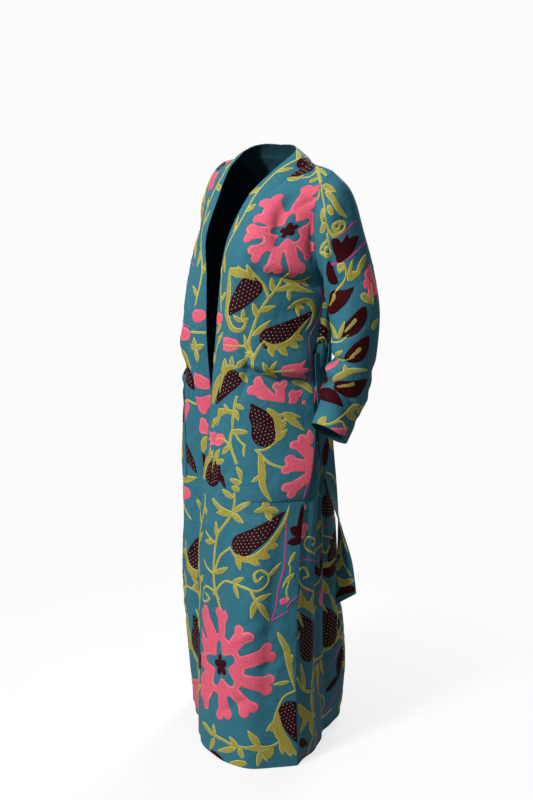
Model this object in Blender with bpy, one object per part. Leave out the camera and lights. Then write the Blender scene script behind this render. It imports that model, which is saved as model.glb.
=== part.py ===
"""A floor-length duster coat of embroidered cotton, worn open, with both cuffs at the pockets.

The wearer faces -Y and +X is the wearer's left. The origin lies between the neck points of the
shoulder seams, where the wearer holds the coat up. Every panel is a cloth wall: its inner face
lies on a surface worked out below, and its outer face is that surface moved out by the cloth.
"""

import math

import bpy
import numpy as np

# Driving sizes, in metres
CLOTH = 0.0025
SEAM_GAP = 0.0003
BAND_WIDTH = 0.045
BAND_ROLL = 0.003
BELT_THICK = 0.003
BELT_WIDTH = 0.050
LOOP_THICK = 0.002
POCKET_GAPE = 0.016
LONGEST_MITRE = 1.35
MOUNT_HEIGHT = 1.424

# Heights up the coat from the hem, along the cloth
HEM, SHIN, KNEE, HIP, WAIST, UNDERARM = 0.0, 0.30, 0.55, 0.83, 1.02, 1.17
CHEST, COLLARBONE, YOKE, SHOULDER = 1.25, 1.34, 1.42, 1.475
POCKET_BOTTOM, POCKET_TOP = 0.665, 0.915
BELT_BOTTOM = 0.965
BELT_TOP = BELT_BOTTOM + BELT_WIDTH

# Where the rows of every panel lie: from one height to the next in so many steps
ROW_STEPS = (
    (HEM, 0.30, 5),
    (0.30, POCKET_BOTTOM, 6),
    (POCKET_BOTTOM, POCKET_TOP, 6),
    (POCKET_TOP, BELT_BOTTOM, 2),
    (BELT_BOTTOM, BELT_TOP, 2),
    (BELT_TOP, UNDERARM, 3),
    (UNDERARM, SHOULDER, 9),
)
FRONT_COLUMNS = 10
NECK_COLUMNS = 5
BAND_COLUMNS = 3

# The left front, a row for each height: its band seam in plan and height above the floor, the
# length and the forward swing in degrees of the cloth there, then the same at the side
LEFT_FRONT_ROWS = (
    # up, seam_x, seam_y, height, seam_reach, seam_swing, side_reach, side_swing
    (HEM, -0.056, -0.165, 0.000, 0.150, 37, 0.110, 58),
    (SHIN, -0.040, -0.166, 0.300, 0.130, 28, 0.100, 60),
    (KNEE, -0.020, -0.169, 0.550, 0.115, 20, 0.100, 66),
    (HIP, 0.016, -0.163, 0.830, 0.080, 10, 0.100, 74),
    (WAIST, 0.042, -0.166, 1.020, 0.065, 0, 0.090, 84),
    (UNDERARM, 0.053, -0.160, 1.170, 0.065, -2, 0.090, 84),
    (CHEST, 0.066, -0.152, 1.250, 0.055, -4, 0.085, 72),
    (COLLARBONE, 0.092, -0.112, 1.335, 0.040, -6, 0.050, 45),
    (YOKE, 0.114, -0.038, 1.390, 0.030, -6, 0.032, 15),
)
# The right front seen as if it were a left one; below the hip it hangs behind the left front
RIGHT_FRONT_ROWS = (
    # up, seam_x, seam_y, height, seam_reach, seam_swing, side_reach, side_swing
    (HEM, 0.030, -0.140, 0.000, 0.060, -12, 0.050, 20),
    (SHIN, 0.035, -0.146, 0.300, 0.060, 5, 0.080, 55),
    (KNEE, 0.040, -0.140, 0.550, 0.060, 8, 0.090, 64),
    (HIP, 0.072, -0.143, 0.830, 0.045, 14, 0.115, 74),
    (WAIST, 0.080, -0.155, 1.020, 0.045, 0, 0.100, 82),
    (UNDERARM, 0.084, -0.143, 1.170, 0.045, -12, 0.080, 76),
    (CHEST, 0.095, -0.117, 1.250, 0.040, -22, 0.045, 50),
    (COLLARBONE, 0.098, -0.090, 1.335, 0.035, -14, 0.045, 42),
    (YOKE, 0.114, -0.038, 1.390, 0.030, -6, 0.032, 15),
)
# The left half of the back: the length and direction of the cloth as it leaves the side, in
# degrees from +X, then the centre back and the length of cloth that lies square across it
BACK_ROWS = (
    # up, side_reach, side_swing, centre_y, height, centre_reach
    (HEM, 0.170, 113, 0.277, 0.000, 0.075),
    (SHIN, 0.150, 104, 0.243, 0.300, 0.080),
    (KNEE, 0.130, 98, 0.199, 0.550, 0.090),
    (HIP, 0.080, 92, 0.137, 0.830, 0.110),
    (WAIST, 0.075, 92, 0.115, 1.020, 0.100),
    (UNDERARM, 0.070, 98, 0.124, 1.170, 0.110),
    (CHEST, 0.045, 130, 0.134, 1.250, 0.100),
    (COLLARBONE, 0.045, 150, 0.130, 1.335, 0.090),
    (YOKE, 0.050, 165, 0.112, 1.392, 0.080),
)
SIDE_SEAM = (
    # up, x, y, height
    (HEM, 0.213, -0.093, 0.000),
    (SHIN, 0.205, -0.092, 0.300),
    (KNEE, 0.199, -0.074, 0.550),
    (HIP, 0.187, -0.024, 0.830),
    (WAIST, 0.179, -0.004, 1.020),
    (UNDERARM, 0.186, 0.016, 1.165),
)
ARMHOLE_FRONT = (
    # up, x, y, height
    (UNDERARM, 0.186, 0.016, 1.165),
    (1.20, 0.188, -0.006, 1.192),
    (CHEST, 0.191, -0.022, 1.245),
    (COLLARBONE, 0.193, -0.026, 1.327),
    (YOKE, 0.195, -0.008, 1.385),
    (SHOULDER, 0.197, 0.024, 1.410),
)
ARMHOLE_BACK = (
    # up, x, y, height
    (UNDERARM, 0.186, 0.016, 1.165),
    (1.20, 0.186, 0.048, 1.192),
    (CHEST, 0.187, 0.080, 1.245),
    (COLLARBONE, 0.189, 0.086, 1.327),
    (YOKE, 0.193, 0.062, 1.385),
    (SHOULDER, 0.197, 0.024, 1.410),
)
# The shoulder seam runs to the neck point, and the back neck on to the centre back
SHOULDER_SEAM = (
    # x, y, height
    (0.197, 0.024, 1.410),
    (0.174, 0.022, 1.418),
    (0.150, 0.021, 1.422),
    (0.124, 0.020, 1.424),
)
BACK_NECK = (
    # x, y, height
    (0.124, 0.020, 1.424),
    (0.120, 0.054, 1.429),
    (0.062, 0.088, 1.428),
    (0.000, 0.088, 1.426),
)
NECK_POINT = 0.42
# Which way the band stands from its seam towards its free edge, up the front and round the neck
BAND_ROWS = (
    # up, out_x, left_out_y, right_out_y, out_z
    (HEM, -0.87, 0.50, 0.20, 0.00),
    (SHIN, -0.90, 0.44, 0.15, 0.00),
    (KNEE, -0.93, 0.37, 0.20, 0.00),
    (HIP, -0.94, 0.34, 0.25, 0.00),
    (WAIST, -0.93, 0.36, 0.22, 0.00),
    (UNDERARM, -0.91, 0.40, 0.05, 0.06),
    (CHEST, -0.88, 0.40, -0.25, 0.20),
    (COLLARBONE, -0.82, 0.34, 0.16, 0.38),
    (YOKE, -0.86, 0.06, 0.06, 0.42),
    (SHOULDER, -0.86, -0.14, -0.14, 0.38),
)
BAND_AT_CENTRE_BACK = (0.0, -0.62, 0.78)

# Sections down a sleeve after its armhole: the heights and distances from the centre of its outer
# and inner points, its half depth, and on each side how far back it is and how far it tips forward
SLEEVE_RINGS = (
    # outer_x, outer_h, inner_x, inner_h, half_depth, left_y, left_tip, right_y, right_tip
    (0.229, 1.374, 0.211, 1.150, 0.054, 0.030, 0, 0.032, 0),
    (0.249, 1.300, 0.208, 1.124, 0.058, 0.037, -6, 0.040, -4),
    (0.270, 1.205, 0.203, 1.092, 0.061, 0.051, -13, 0.052, -8),
    (0.293, 1.110, 0.207, 1.048, 0.059, 0.053, -7, 0.058, -6),
    (0.296, 1.030, 0.210, 1.002, 0.059, 0.046, 5, 0.058, 0),
    (0.294, 0.965, 0.211, 0.955, 0.058, 0.034, 21, 0.054, 4),
    (0.290, 0.895, 0.211, 0.892, 0.055, 0.008, 30, 0.044, 10),
    (0.286, 0.828, 0.211, 0.828, 0.050, -0.032, 37, 0.028, 16),
)
SLEEVE_STEPS = 17

# How far the right of the coat has swung back, for each height
SWAY_ROWS = (
    # height, back
    (0.00, 0.050),
    (0.30, 0.032),
    (0.60, 0.008),
    (0.85, 0.000),
    (1.05, 0.000),
    (1.26, 0.036),
    (1.45, 0.038),
)

# Soft folds that stand out of the cloth, or sink into it where the height is negative.
# across runs from the band seam or centre back, at 0, to the side, at 1
FRONT_FOLDS = (
    # across_low, across_high, up_low, up_high, stands, half_width, blend
    (0.62, 0.70, -0.20, 0.60, 0.009, 0.13, 0.20),
    (0.28, 0.20, -0.20, 0.70, -0.007, 0.12, 0.25),
    (0.10, 0.24, 0.98, 1.30, 0.006, 0.12, 0.08),
    (0.62, 0.50, 1.22, 1.40, -0.007, 0.11, 0.05),
)
BACK_FOLDS = (
    # across_low, across_high, up_low, up_high, stands, half_width, blend
    (0.84, 0.93, -0.20, 0.92, 0.012, 0.06, 0.25),
    (0.66, 0.78, -0.20, 0.86, -0.014, 0.08, 0.30),
    (0.46, 0.56, -0.20, 0.80, 0.013, 0.08, 0.30),
    (0.24, 0.30, -0.20, 0.70, -0.012, 0.09, 0.30),
    (0.00, 0.00, -0.20, 0.90, 0.012, 0.10, 0.35),
    (0.55, 0.35, 1.08, 1.28, -0.007, 0.12, 0.07),
)
# The front hangs over itself in a slanting fold just above the pocket
WAIST_FOLD_AT_SEAM, WAIST_FOLD_AT_SIDE = 0.985, 0.945
WAIST_FOLD_HALF, WAIST_FOLD_STANDS = 0.030, 0.009

# The path of a hanging belt end on the left, from its loop down, and how its width turns
BELT_END_PATH = (
    # x, y, height, width direction in degrees from +X, width
    (0.1853, -0.004, 1.002, 91, 0.022),
    (0.1872, 0.000, 0.960, 91, 0.032),
    (0.1950, 0.010, 0.870, 90, 0.046),
    (0.1975, 0.014, 0.775, 92, 0.050),
    (0.1985, 0.038, 0.665, 112, 0.050),
    (0.2000, 0.062, 0.575, 140, 0.048),
    (0.2000, 0.083, 0.475, 176, 0.052),
    (0.1980, 0.093, 0.370, 206, 0.052),
)
BELT_END_STEPS = 22
# A belt loop, from the columns of the back that it covers to how far it stands over the belt
LOOP_COLUMNS = (2.6, 3.3, 4.0)
LOOP_ROWS = (
    # up, stands
    (BELT_BOTTOM - 0.020, 0.0),
    (BELT_BOTTOM - 0.008, 0.0),
    (BELT_BOTTOM - 0.002, 1.05),
    (BELT_BOTTOM + 0.012, 1.25),
    (BELT_TOP - 0.012, 1.25),
    (BELT_TOP + 0.002, 1.05),
    (BELT_TOP + 0.008, 0.0),
    (BELT_TOP + 0.020, 0.0),
)
BELT_END_TILT = 0.012

TEAL = (0.020, 0.125, 0.185)
BAND_TEAL = (0.026, 0.140, 0.200)
SLEEVE_TEAL = (0.022, 0.132, 0.190)
BELT_TEAL = (0.016, 0.100, 0.150)


def clear_scene():
    for thing in list(bpy.data.objects):
        bpy.data.objects.remove(thing)


def cloth_material(name, colour, roughness):
    material = bpy.data.materials.new(name)
    material.use_nodes = True
    shader = material.node_tree.nodes["Principled BSDF"]
    shader.inputs["Base Color"].default_value = (*colour, 1.0)
    shader.inputs["Roughness"].default_value = roughness
    shader.inputs["Metallic"].default_value = 0.0
    return material


def smooth_through(rows, where):
    """The values of a table at a place between its rows, on a smooth curve through them all."""
    places = [row[0] for row in rows]
    values = [np.array(row[1:], float) for row in rows]
    last = len(rows) - 1
    k = min(max(sum(p <= where for p in places) - 1, 0), last - 1)
    span = places[k + 1] - places[k]

    def slope(i):
        before, after = max(i - 1, 0), min(i + 1, last)
        return (values[after] - values[before]) / (places[after] - places[before])

    t = (where - places[k]) / span
    start, end = slope(k) * span, slope(k + 1) * span
    return (
        (2 * t**3 - 3 * t**2 + 1) * values[k]
        + (t**3 - 2 * t**2 + t) * start
        + (3 * t**2 - 2 * t**3) * values[k + 1]
        + (t**3 - t**2) * end
    )


def bezier(points, t):
    a, b, c, d = (np.array(p, float) for p in points)
    s = 1 - t
    return s**3 * a + 3 * s * s * t * b + 3 * s * t * t * c + t**3 * d


def soft_step(low, high, value):
    t = min(max((value - low) / (high - low), 0.0), 1.0)
    return t * t * (3 - 2 * t)


def turned(degrees):
    """A level unit vector that many degrees round from +X."""
    return np.array([math.cos(math.radians(degrees)), math.sin(math.radians(degrees)), 0.0])


def side_point(up, armhole):
    return smooth_through(SIDE_SEAM if up <= UNDERARM else armhole, up)


def curve_between(start, reach, swing, end, end_reach, end_swing, across):
    """A level curve with a reach and a swing at each end, whose rise is spread evenly along it."""
    rise = (end[2] - start[2]) / 3 * np.array([0, 0, 1])
    near_start = start + reach * turned(swing) + rise
    near_end = end - end_reach * turned(end_swing) - rise
    return bezier((start, near_start, near_end, end), across)


def front_curve(rows, up, across):
    """A front with no folds: across is 0 at the band seam and 1 at the side."""
    neck = SHOULDER_SEAM[3]
    rows = rows + ((SHOULDER, *neck, 0.024, 0, 0.024, 0),)

    def by_rows(up):
        x, y, z, reach, swing, side_reach, side_swing = smooth_through(rows, up)
        side = side_point(up, ARMHOLE_FRONT)
        return curve_between(np.array([x, y, z]), reach, -swing, side, side_reach, side_swing, across)

    to_seam = bezier(SHOULDER_SEAM, 1 - across) - by_rows(SHOULDER)
    return by_rows(up) + soft_step(COLLARBONE, SHOULDER, up) * to_seam


def back_curve(up, across):
    """The left half of the back with no folds: across is 0 at the side and 1 at the centre."""
    rows = BACK_ROWS + ((SHOULDER, 0.050, 180, *BACK_NECK[3][1:], 0.060),)

    def by_rows(up):
        reach, swing, centre_y, centre_z, centre_reach = smooth_through(rows, up)
        side = side_point(up, ARMHOLE_BACK)
        centre = np.array([0.0, centre_y, centre_z])
        return curve_between(side, reach, swing, centre, centre_reach, 180, across)

    if across < NECK_POINT:
        top = bezier(SHOULDER_SEAM, across / NECK_POINT)
    else:
        top = bezier(BACK_NECK, (across - NECK_POINT) / (1 - NECK_POINT))
    to_seam = top - by_rows(SHOULDER)
    return by_rows(up) + soft_step(COLLARBONE, SHOULDER, up) * to_seam


def fold_height(folds, up, across):
    height = 0.0
    for across_low, across_high, up_low, up_high, stands, half_width, blend in folds:
        middle = across_low + (across_high - across_low) * (up - up_low) / (up_high - up_low)
        fade = soft_step(up_low, up_low + blend, up) * (1 - soft_step(up_high - blend, up_high, up))
        height += stands * fade * math.exp(-(((across - middle) / half_width) ** 2))
    return height


def waist_fold(up, across):
    """Bulges above a slanting line across the front and falls in below it."""
    line = WAIST_FOLD_AT_SEAM + (WAIST_FOLD_AT_SIDE - WAIST_FOLD_AT_SEAM) * across
    t = (up - line) / WAIST_FOLD_HALF
    return WAIST_FOLD_STANDS * soft_step(0.05, 0.4, across) * t * math.exp(0.5 - t * t / 2)


def held_edge(across):
    """0 at both edges of a panel, so that seams stay where they are, and 1 inside."""
    return soft_step(0.0, 0.12, across) * soft_step(0.0, 0.12, 1 - across)


def row_heights():
    heights = [HEM]
    for low, high, steps in ROW_STEPS:
        heights += [low + (high - low) * k / steps for k in range(1, steps + 1)]
    return heights


def grid_normals(points, closed=False):
    """Unit normals of a grid of points, by its neighbours along rows and columns."""
    if closed:
        ring = np.concatenate([points[-1:], points, points[:1]])
        along = ring[2:] - ring[:-2]
    else:
        along = np.gradient(points, axis=0)
    up = np.gradient(points, axis=1)
    normals = np.cross(along, up)
    return normals / np.linalg.norm(normals, axis=2, keepdims=True)


class Panel:
    """A grid of points across and up a piece of cloth, with the way out of the wall at each."""

    def __init__(self, name, points, closed=False):
        self.name = name
        self.points = points
        self.closed = closed
        self.out = grid_normals(points, closed)

    def border(self):
        """Which points lie on a free or sewn edge."""
        edge = np.zeros(self.points.shape[:2], bool)
        edge[:, 0] = edge[:, -1] = True
        if not self.closed:
            edge[0, :] = edge[-1, :] = True
        return zip(*np.nonzero(edge))


def mirrored(panel, name):
    twin = Panel(name, panel.points[::-1] * np.array([-1.0, 1.0, 1.0]), panel.closed)
    twin.out = panel.out[::-1] * np.array([-1.0, 1.0, 1.0])
    return twin


def raise_folds(points, heights):
    """Moves each point of a smooth panel out along its normal."""
    return points + grid_normals(points) * heights[:, :, None]


def make_front(rows, heights):
    across = [k / FRONT_COLUMNS for k in range(FRONT_COLUMNS + 1)]
    points = np.array([[front_curve(rows, up, a) for up in heights] for a in across])
    folds = [
        [held_edge(a) * (fold_height(FRONT_FOLDS, up, a) + waist_fold(up, a)) for up in heights]
        for a in across
    ]
    return Panel("front_left", raise_folds(points, fade_at_top(np.array(folds), heights)))


def make_back(heights):
    outer = [NECK_POINT * k / FRONT_COLUMNS for k in range(FRONT_COLUMNS)]
    inner = [NECK_POINT + (1 - NECK_POINT) * k / NECK_COLUMNS for k in range(NECK_COLUMNS + 1)]
    left = np.array([[back_curve(up, a) for up in heights] for a in outer + inner])
    right = left[-2::-1] * np.array([-1.0, 1.0, 1.0])
    points = np.concatenate([left, right])
    half = [
        [soft_step(0.0, 0.08, a) * fold_height(BACK_FOLDS, up, 1 - a) for up in heights]
        for a in outer + inner
    ]
    folds = np.concatenate([half, half[-2::-1]])
    return Panel("back", raise_folds(points, fade_at_top(folds, heights)))


def fade_at_top(folds, heights):
    fade = np.array([1 - soft_step(COLLARBONE, YOKE, up) for up in heights])
    return folds * fade


def make_sleeve(name, front, back, first_row):
    """The armhole comes from the edges of the two panels, so that the sleeve meets them."""
    front_half = front.points[-1, first_row:]
    back_half = back.points[0, first_row:]
    armhole = np.concatenate([front_half, back_half[-2:0:-1]])
    count = len(armhole)
    rings = [armhole]
    for outer_x, outer_h, inner_x, inner_h, half_depth, *placing in SLEEVE_RINGS:
        y, tip = placing[:2] if name == "sleeve_left" else placing[2:]
        outer, inner = np.array([outer_x, y, outer_h]), np.array([inner_x, y, inner_h])
        forward = np.array([0.0, -math.cos(math.radians(tip)), math.sin(math.radians(tip))])
        turn = 2 * math.pi * np.arange(count)[:, None] / count
        rings.append(
            (outer + inner) / 2
            - np.cos(turn) * (outer - inner) / 2
            + np.sin(turn) * half_depth * forward
        )
    lengths = [0.0]
    for before, after in zip(rings, rings[1:]):
        lengths.append(lengths[-1] + np.linalg.norm(after.mean(0) - before.mean(0)))
    places = [length / lengths[-1] for length in lengths]
    table = [(place, *ring.ravel()) for place, ring in zip(places, rings)]
    sections = [
        smooth_through(table, k / SLEEVE_STEPS).reshape(-1, 3) for k in range(SLEEVE_STEPS + 1)
    ]
    return Panel(name, np.array(sections).transpose(1, 0, 2)[::-1], closed=True)


def make_band(name, front, back, heights):
    """Half of the long band: up the front edge and round the neck to the centre back."""
    neck_row = back.points[FRONT_COLUMNS : FRONT_COLUMNS + NECK_COLUMNS + 1, -1]
    seam = np.concatenate([front.points[0], neck_row[1:]])
    side = 2 if name == "band_left" else 3
    rows = [(row[0], row[1], row[side], row[4]) for row in BAND_ROWS]
    stand = [smooth_through(rows, up) for up in heights]
    last = np.array(BAND_AT_CENTRE_BACK)
    stand += [stand[-1] + (last - stand[-1]) * k / NECK_COLUMNS for k in range(1, NECK_COLUMNS + 1)]
    stand = np.array([way / np.linalg.norm(way) for way in stand])
    along = np.gradient(seam, axis=0)
    face = np.cross(along, stand)
    face /= np.linalg.norm(face, axis=1, keepdims=True)
    columns = []
    for k in range(BAND_COLUMNS + 1):
        share = 1 - k / BAND_COLUMNS
        roll = BAND_ROLL * math.sin(math.pi * share)
        columns.append(seam + stand * BAND_WIDTH * share + face * roll)
    return Panel(name, np.array(columns))


def share_seams(panels):
    """Where panels meet, their walls stand the same way, so that the cut edges lie face to face."""
    ways = {}
    for panel in panels:
        for i, j in panel.border():
            key = tuple(np.round(panel.points[i, j], 5))
            ways.setdefault(key, []).append(panel.out[i, j])
    for panel in panels:
        out = panel.out.copy()
        for i, j in panel.border():
            met = ways[tuple(np.round(panel.points[i, j], 5))]
            if len(met) > 1:
                way = np.sum(met, axis=0)
                way /= np.linalg.norm(way)
                out[i, j] = way / max(min(way @ one for one in met), 1 / LONGEST_MITRE)
        panel.out = out


def pull_edges_in(panel):
    """Moves each edge in by half the seam gap."""
    points = panel.points.copy()
    half = SEAM_GAP / 2 + 0.00002

    def pull(edge, inside):
        step = inside - edge
        return half * step / np.linalg.norm(step, axis=-1, keepdims=True)

    shift = np.zeros_like(points)
    shift[:, 0] += pull(panel.points[:, 0], panel.points[:, 1])
    shift[:, -1] += pull(panel.points[:, -1], panel.points[:, -2])
    if not panel.closed:
        shift[0] += pull(panel.points[0], panel.points[1])
        shift[-1] += pull(panel.points[-1], panel.points[-2])
    panel.points = points + shift


def swayed(points):
    """Swings the right of the coat back, and measures heights from the mount."""
    x, y, z = points.T
    z = np.maximum(z, 0)
    share = np.clip((-x - 0.02) / 0.22, 0, 1)
    back = np.array([smooth_through(SWAY_ROWS, height)[0] for height in z])
    return np.stack([x, y + back * share * share * (3 - 2 * share), z - MOUNT_HEIGHT], axis=1)


def cut_edge(spots, inner_a, inner_b, outer_b, outer_a):
    """Two triangles across a cut edge, along the same diagonal on both sides of a seam."""
    a, b = spots[inner_a], spots[inner_b]
    if (a[2], a[1]) > (b[2], b[1]):
        return [[inner_a, inner_b, outer_b], [inner_a, outer_b, outer_a]]
    return [[inner_a, inner_b, outer_a], [inner_b, outer_b, outer_a]]


def wall(name, inner, outer, closed, material):
    """A closed wall between two grids of points. Both its faces are cut along like diagonals."""
    across, up = inner.shape[:2]
    count = across * up
    spots = swayed(np.concatenate([inner.reshape(-1, 3), outer.reshape(-1, 3)]))
    faces = []

    def at(i, j, side):
        return side * count + (i % across) * up + j

    for i in range(across if closed else across - 1):
        for j in range(up - 1):
            for corners in (((i, j), (i + 1, j), (i + 1, j + 1)), ((i, j), (i + 1, j + 1), (i, j + 1))):
                faces.append([at(a, b, 1) for a, b in corners])
                faces.append([at(a, b, 0) for a, b in reversed(corners)])
        faces += cut_edge(spots, at(i, 0, 0), at(i + 1, 0, 0), at(i + 1, 0, 1), at(i, 0, 1))
        j = up - 1
        faces += cut_edge(spots, at(i + 1, j, 0), at(i, j, 0), at(i, j, 1), at(i + 1, j, 1))
    if not closed:
        end = across - 1
        for j in range(up - 1):
            faces += cut_edge(spots, at(0, j + 1, 0), at(0, j, 0), at(0, j, 1), at(0, j + 1, 1))
            faces += cut_edge(
                spots, at(end, j, 0), at(end, j + 1, 0), at(end, j + 1, 1), at(end, j, 1)
            )
    mesh = bpy.data.meshes.new(name)
    mesh.from_pydata([tuple(s) for s in spots], [], faces)
    mesh.materials.append(material)
    mesh.shade_smooth()
    mesh.set_sharp_from_angle(angle=math.radians(50))
    thing = bpy.data.objects.new(name, mesh)
    bpy.context.scene.collection.objects.link(thing)
    return thing


def build_panel(panel, material):
    wall(panel.name, panel.points, panel.points + CLOTH * panel.out, panel.closed, material)


def lying_on(panel, columns, rows, clear, thick):
    """Two grids on the outside of part of a panel, made from its own points moved out."""
    points = panel.points[columns, rows]
    out = panel.out[columns, rows]
    base = points + out * (CLOTH + clear)[:, :, None]
    return base, base + out * thick


def build_pocket(name, front, heights, material, flipped):
    """A patch sewn at its top, foot and inner side, and held open at its outer side."""
    first = heights.index(POCKET_BOTTOM)
    last = heights.index(POCKET_TOP)
    columns, rows = slice(4, FRONT_COLUMNS + 1), slice(first, last + 1)
    if flipped:
        columns = slice(0, FRONT_COLUMNS - 3)
    shape = front.points[columns, rows].shape[:2]
    clear = np.full(shape, SEAM_GAP)
    for i in range(shape[0]):
        outward = i / (shape[0] - 1)
        outward = 1 - outward if flipped else outward
        for j in range(shape[1]):
            upward = j / (shape[1] - 1)
            clear[i, j] += POCKET_GAPE * outward**1.6 * math.sin(math.pi * upward**0.66) ** 1.2
    inner, outer = lying_on(front, columns, rows, clear, CLOTH)
    wall(name, inner, outer, False, material)


def build_belt_back(back, heights, material):
    """The stretch of belt that crosses the back, from side seam to side seam."""
    rows = slice(heights.index(BELT_BOTTOM), heights.index(BELT_TOP) + 1)
    columns = slice(0, back.points.shape[0])
    clear = np.full(back.points[columns, rows].shape[:2], SEAM_GAP)
    inner, outer = lying_on(back, columns, rows, clear, BELT_THICK)
    wall("belt_back", inner, outer, False, material)


def build_loop(name, side, back, heights, material):
    """A strip sewn to the back above and below the belt, which it holds near the side seam."""
    columns = LOOP_COLUMNS if side > 0 else [len(back.points) - 1 - c for c in LOOP_COLUMNS[::-1]]
    over = SEAM_GAP + BELT_THICK + SEAM_GAP
    inner, outer = [], []
    for column in columns:
        low = []
        high = []
        for up, share in LOOP_ROWS:
            row = np.interp(up, heights, range(len(heights)))
            base, out = between(back.points, column, row), between(back.out, column, row)
            low.append(base + out * (CLOTH + SEAM_GAP + over * share))
            high.append(low[-1] + out * LOOP_THICK)
        inner.append(low)
        outer.append(high)
    wall(name, np.array(inner), np.array(outer), False, material)


def between(grid, column, row):
    """The value of a grid at a place between its columns and rows."""
    i, j = int(column), int(row)
    u, v = column - i, row - j
    low = (1 - u) * grid[i, j] + u * grid[i + 1, j]
    return (1 - v) * low + v * ((1 - u) * grid[i, j + 1] + u * grid[i + 1, j + 1])


def build_belt_end(name, side, material):
    """A loose end of the belt: it hangs from the loop at the side seam and turns as it falls."""
    rows = [(k / (len(BELT_END_PATH) - 1), *row) for k, row in enumerate(BELT_END_PATH)]
    inner, outer = [], []
    for share in (-0.5, 0.0, 0.5):
        low, high = [], []
        for k in range(BELT_END_STEPS + 1):
            down = k / BELT_END_STEPS
            x, y, z, turn, width = smooth_through(rows, down)
            across = turned(turn)
            facing = turned(turn - 90)
            tilt = BELT_END_TILT * share * soft_step(0.6, 1.0, down)
            middle = np.array([x, y, z + 2 * tilt]) + across * width * share
            low.append(middle)
            high.append(middle + facing * BELT_THICK)
        inner.append(low[::-1])
        outer.append(high[::-1])
    inner, outer = np.array(inner), np.array(outer)
    if side < 0:
        flip = np.array([-1.0, 1.0, 1.0])
        inner, outer = inner[::-1] * flip, outer[::-1] * flip
    wall(name, inner, outer, False, material)


def main():
    clear_scene()
    body_cloth = cloth_material("embroidered_cotton", TEAL, 0.85)
    sleeve_cloth = cloth_material("embroidered_cotton_sleeve", SLEEVE_TEAL, 0.85)
    band_cloth = cloth_material("embroidered_cotton_band", BAND_TEAL, 0.85)
    belt_cloth = cloth_material("embroidered_cotton_belt", BELT_TEAL, 0.85)

    heights = row_heights()
    back = make_back(heights)
    front = make_front(LEFT_FRONT_ROWS, heights)
    underarm = heights.index(UNDERARM)
    front_right = make_front(RIGHT_FRONT_ROWS, heights)
    panels = [
        back,
        front,
        make_sleeve("sleeve_left", front, back, underarm),
        make_band("band_left", front, back, heights),
        mirrored(front_right, "front_right"),
        mirrored(make_sleeve("sleeve_right", front, back, underarm), "sleeve_right"),
        mirrored(make_band("band_right", front_right, back, heights), "band_right"),
    ]
    cloths = {"sleeve": sleeve_cloth, "band": band_cloth}
    share_seams(panels)
    for panel in panels:
        pull_edges_in(panel)
    for panel in panels:
        build_panel(panel, cloths.get(panel.name.split("_")[0], body_cloth))

    build_pocket("pocket_left", front, heights, body_cloth, flipped=False)
    build_pocket("pocket_right", panels[4], heights, body_cloth, flipped=True)
    build_belt_back(back, heights, belt_cloth)
    build_loop("belt_loop_left", 1, back, heights, belt_cloth)
    build_loop("belt_loop_right", -1, back, heights, belt_cloth)
    build_belt_end("belt_end_left", 1, belt_cloth)
    build_belt_end("belt_end_right", -1, belt_cloth)


main()
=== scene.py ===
# %% [markdown]
# A duster coat is a long open coat. This one is cut from an embroidered hanging of the kind called
# suzani: teal cotton, worked all over in chain stitch with round flowers, almond-shaped fruits,
# leaves and vines. The scene is built in the order in which a maker would work: first the cut
# cloth, then its folds, then the threads, and last the light that shows them.

# %% Load the frame
import math

import bpy
import numpy as np
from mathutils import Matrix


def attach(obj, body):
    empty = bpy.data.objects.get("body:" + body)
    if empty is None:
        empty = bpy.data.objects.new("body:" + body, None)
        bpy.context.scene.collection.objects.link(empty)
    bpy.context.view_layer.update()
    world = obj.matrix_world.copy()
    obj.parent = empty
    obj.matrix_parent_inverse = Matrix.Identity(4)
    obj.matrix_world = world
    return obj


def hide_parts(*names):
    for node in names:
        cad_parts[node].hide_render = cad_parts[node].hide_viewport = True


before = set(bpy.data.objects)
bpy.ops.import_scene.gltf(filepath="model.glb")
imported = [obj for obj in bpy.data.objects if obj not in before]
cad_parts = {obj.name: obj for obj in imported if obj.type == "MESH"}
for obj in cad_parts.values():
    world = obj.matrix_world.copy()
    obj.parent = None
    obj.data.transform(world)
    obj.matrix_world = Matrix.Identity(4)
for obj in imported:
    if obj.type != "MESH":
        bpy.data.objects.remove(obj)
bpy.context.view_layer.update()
print("nodes to dress:", sorted(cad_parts))

# %% [markdown]
# The camera stands in front of the coat's left side, a little above its shoulder, and looks down.
# It is a 56 mm lens about three metres away, which gives the long coat its slight narrowing
# towards the hem. The picture is upright, 533 by 800.

# %% Camera
CAMERA_PLACE = (2.0648, -2.0648, 0.156)
LOOKS_DOWN, STANDS_ASIDE = 13.9, 45
camera_data = bpy.data.cameras.new("camera")
camera_data.sensor_width = 36
camera_data.lens = 55.8
camera_data.shift_x = 0.005625
camera = bpy.data.objects.new("camera", camera_data)
camera.location = CAMERA_PLACE
camera.rotation_euler = (math.radians(90 - LOOKS_DOWN), 0, math.radians(STANDS_ASIDE))
bpy.context.scene.collection.objects.link(camera)
bpy.context.scene.camera = camera
print("camera at", tuple(round(v, 3) for v in camera.location))

# %% [markdown]
# The cut. A real coat like this has a back, two fronts, two sleeves, a long band, two patch
# pockets and a tie belt. Each is a flat piece of cloth that hangs in a curve, so each level
# of the body needs only a few sizes: where a seam lies, and how far and in which direction the
# cloth leaves it. The tables give these for each height, in metres above the hem. This way was
# chosen over a cloth simulation because the hang has to match a picture.

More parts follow.
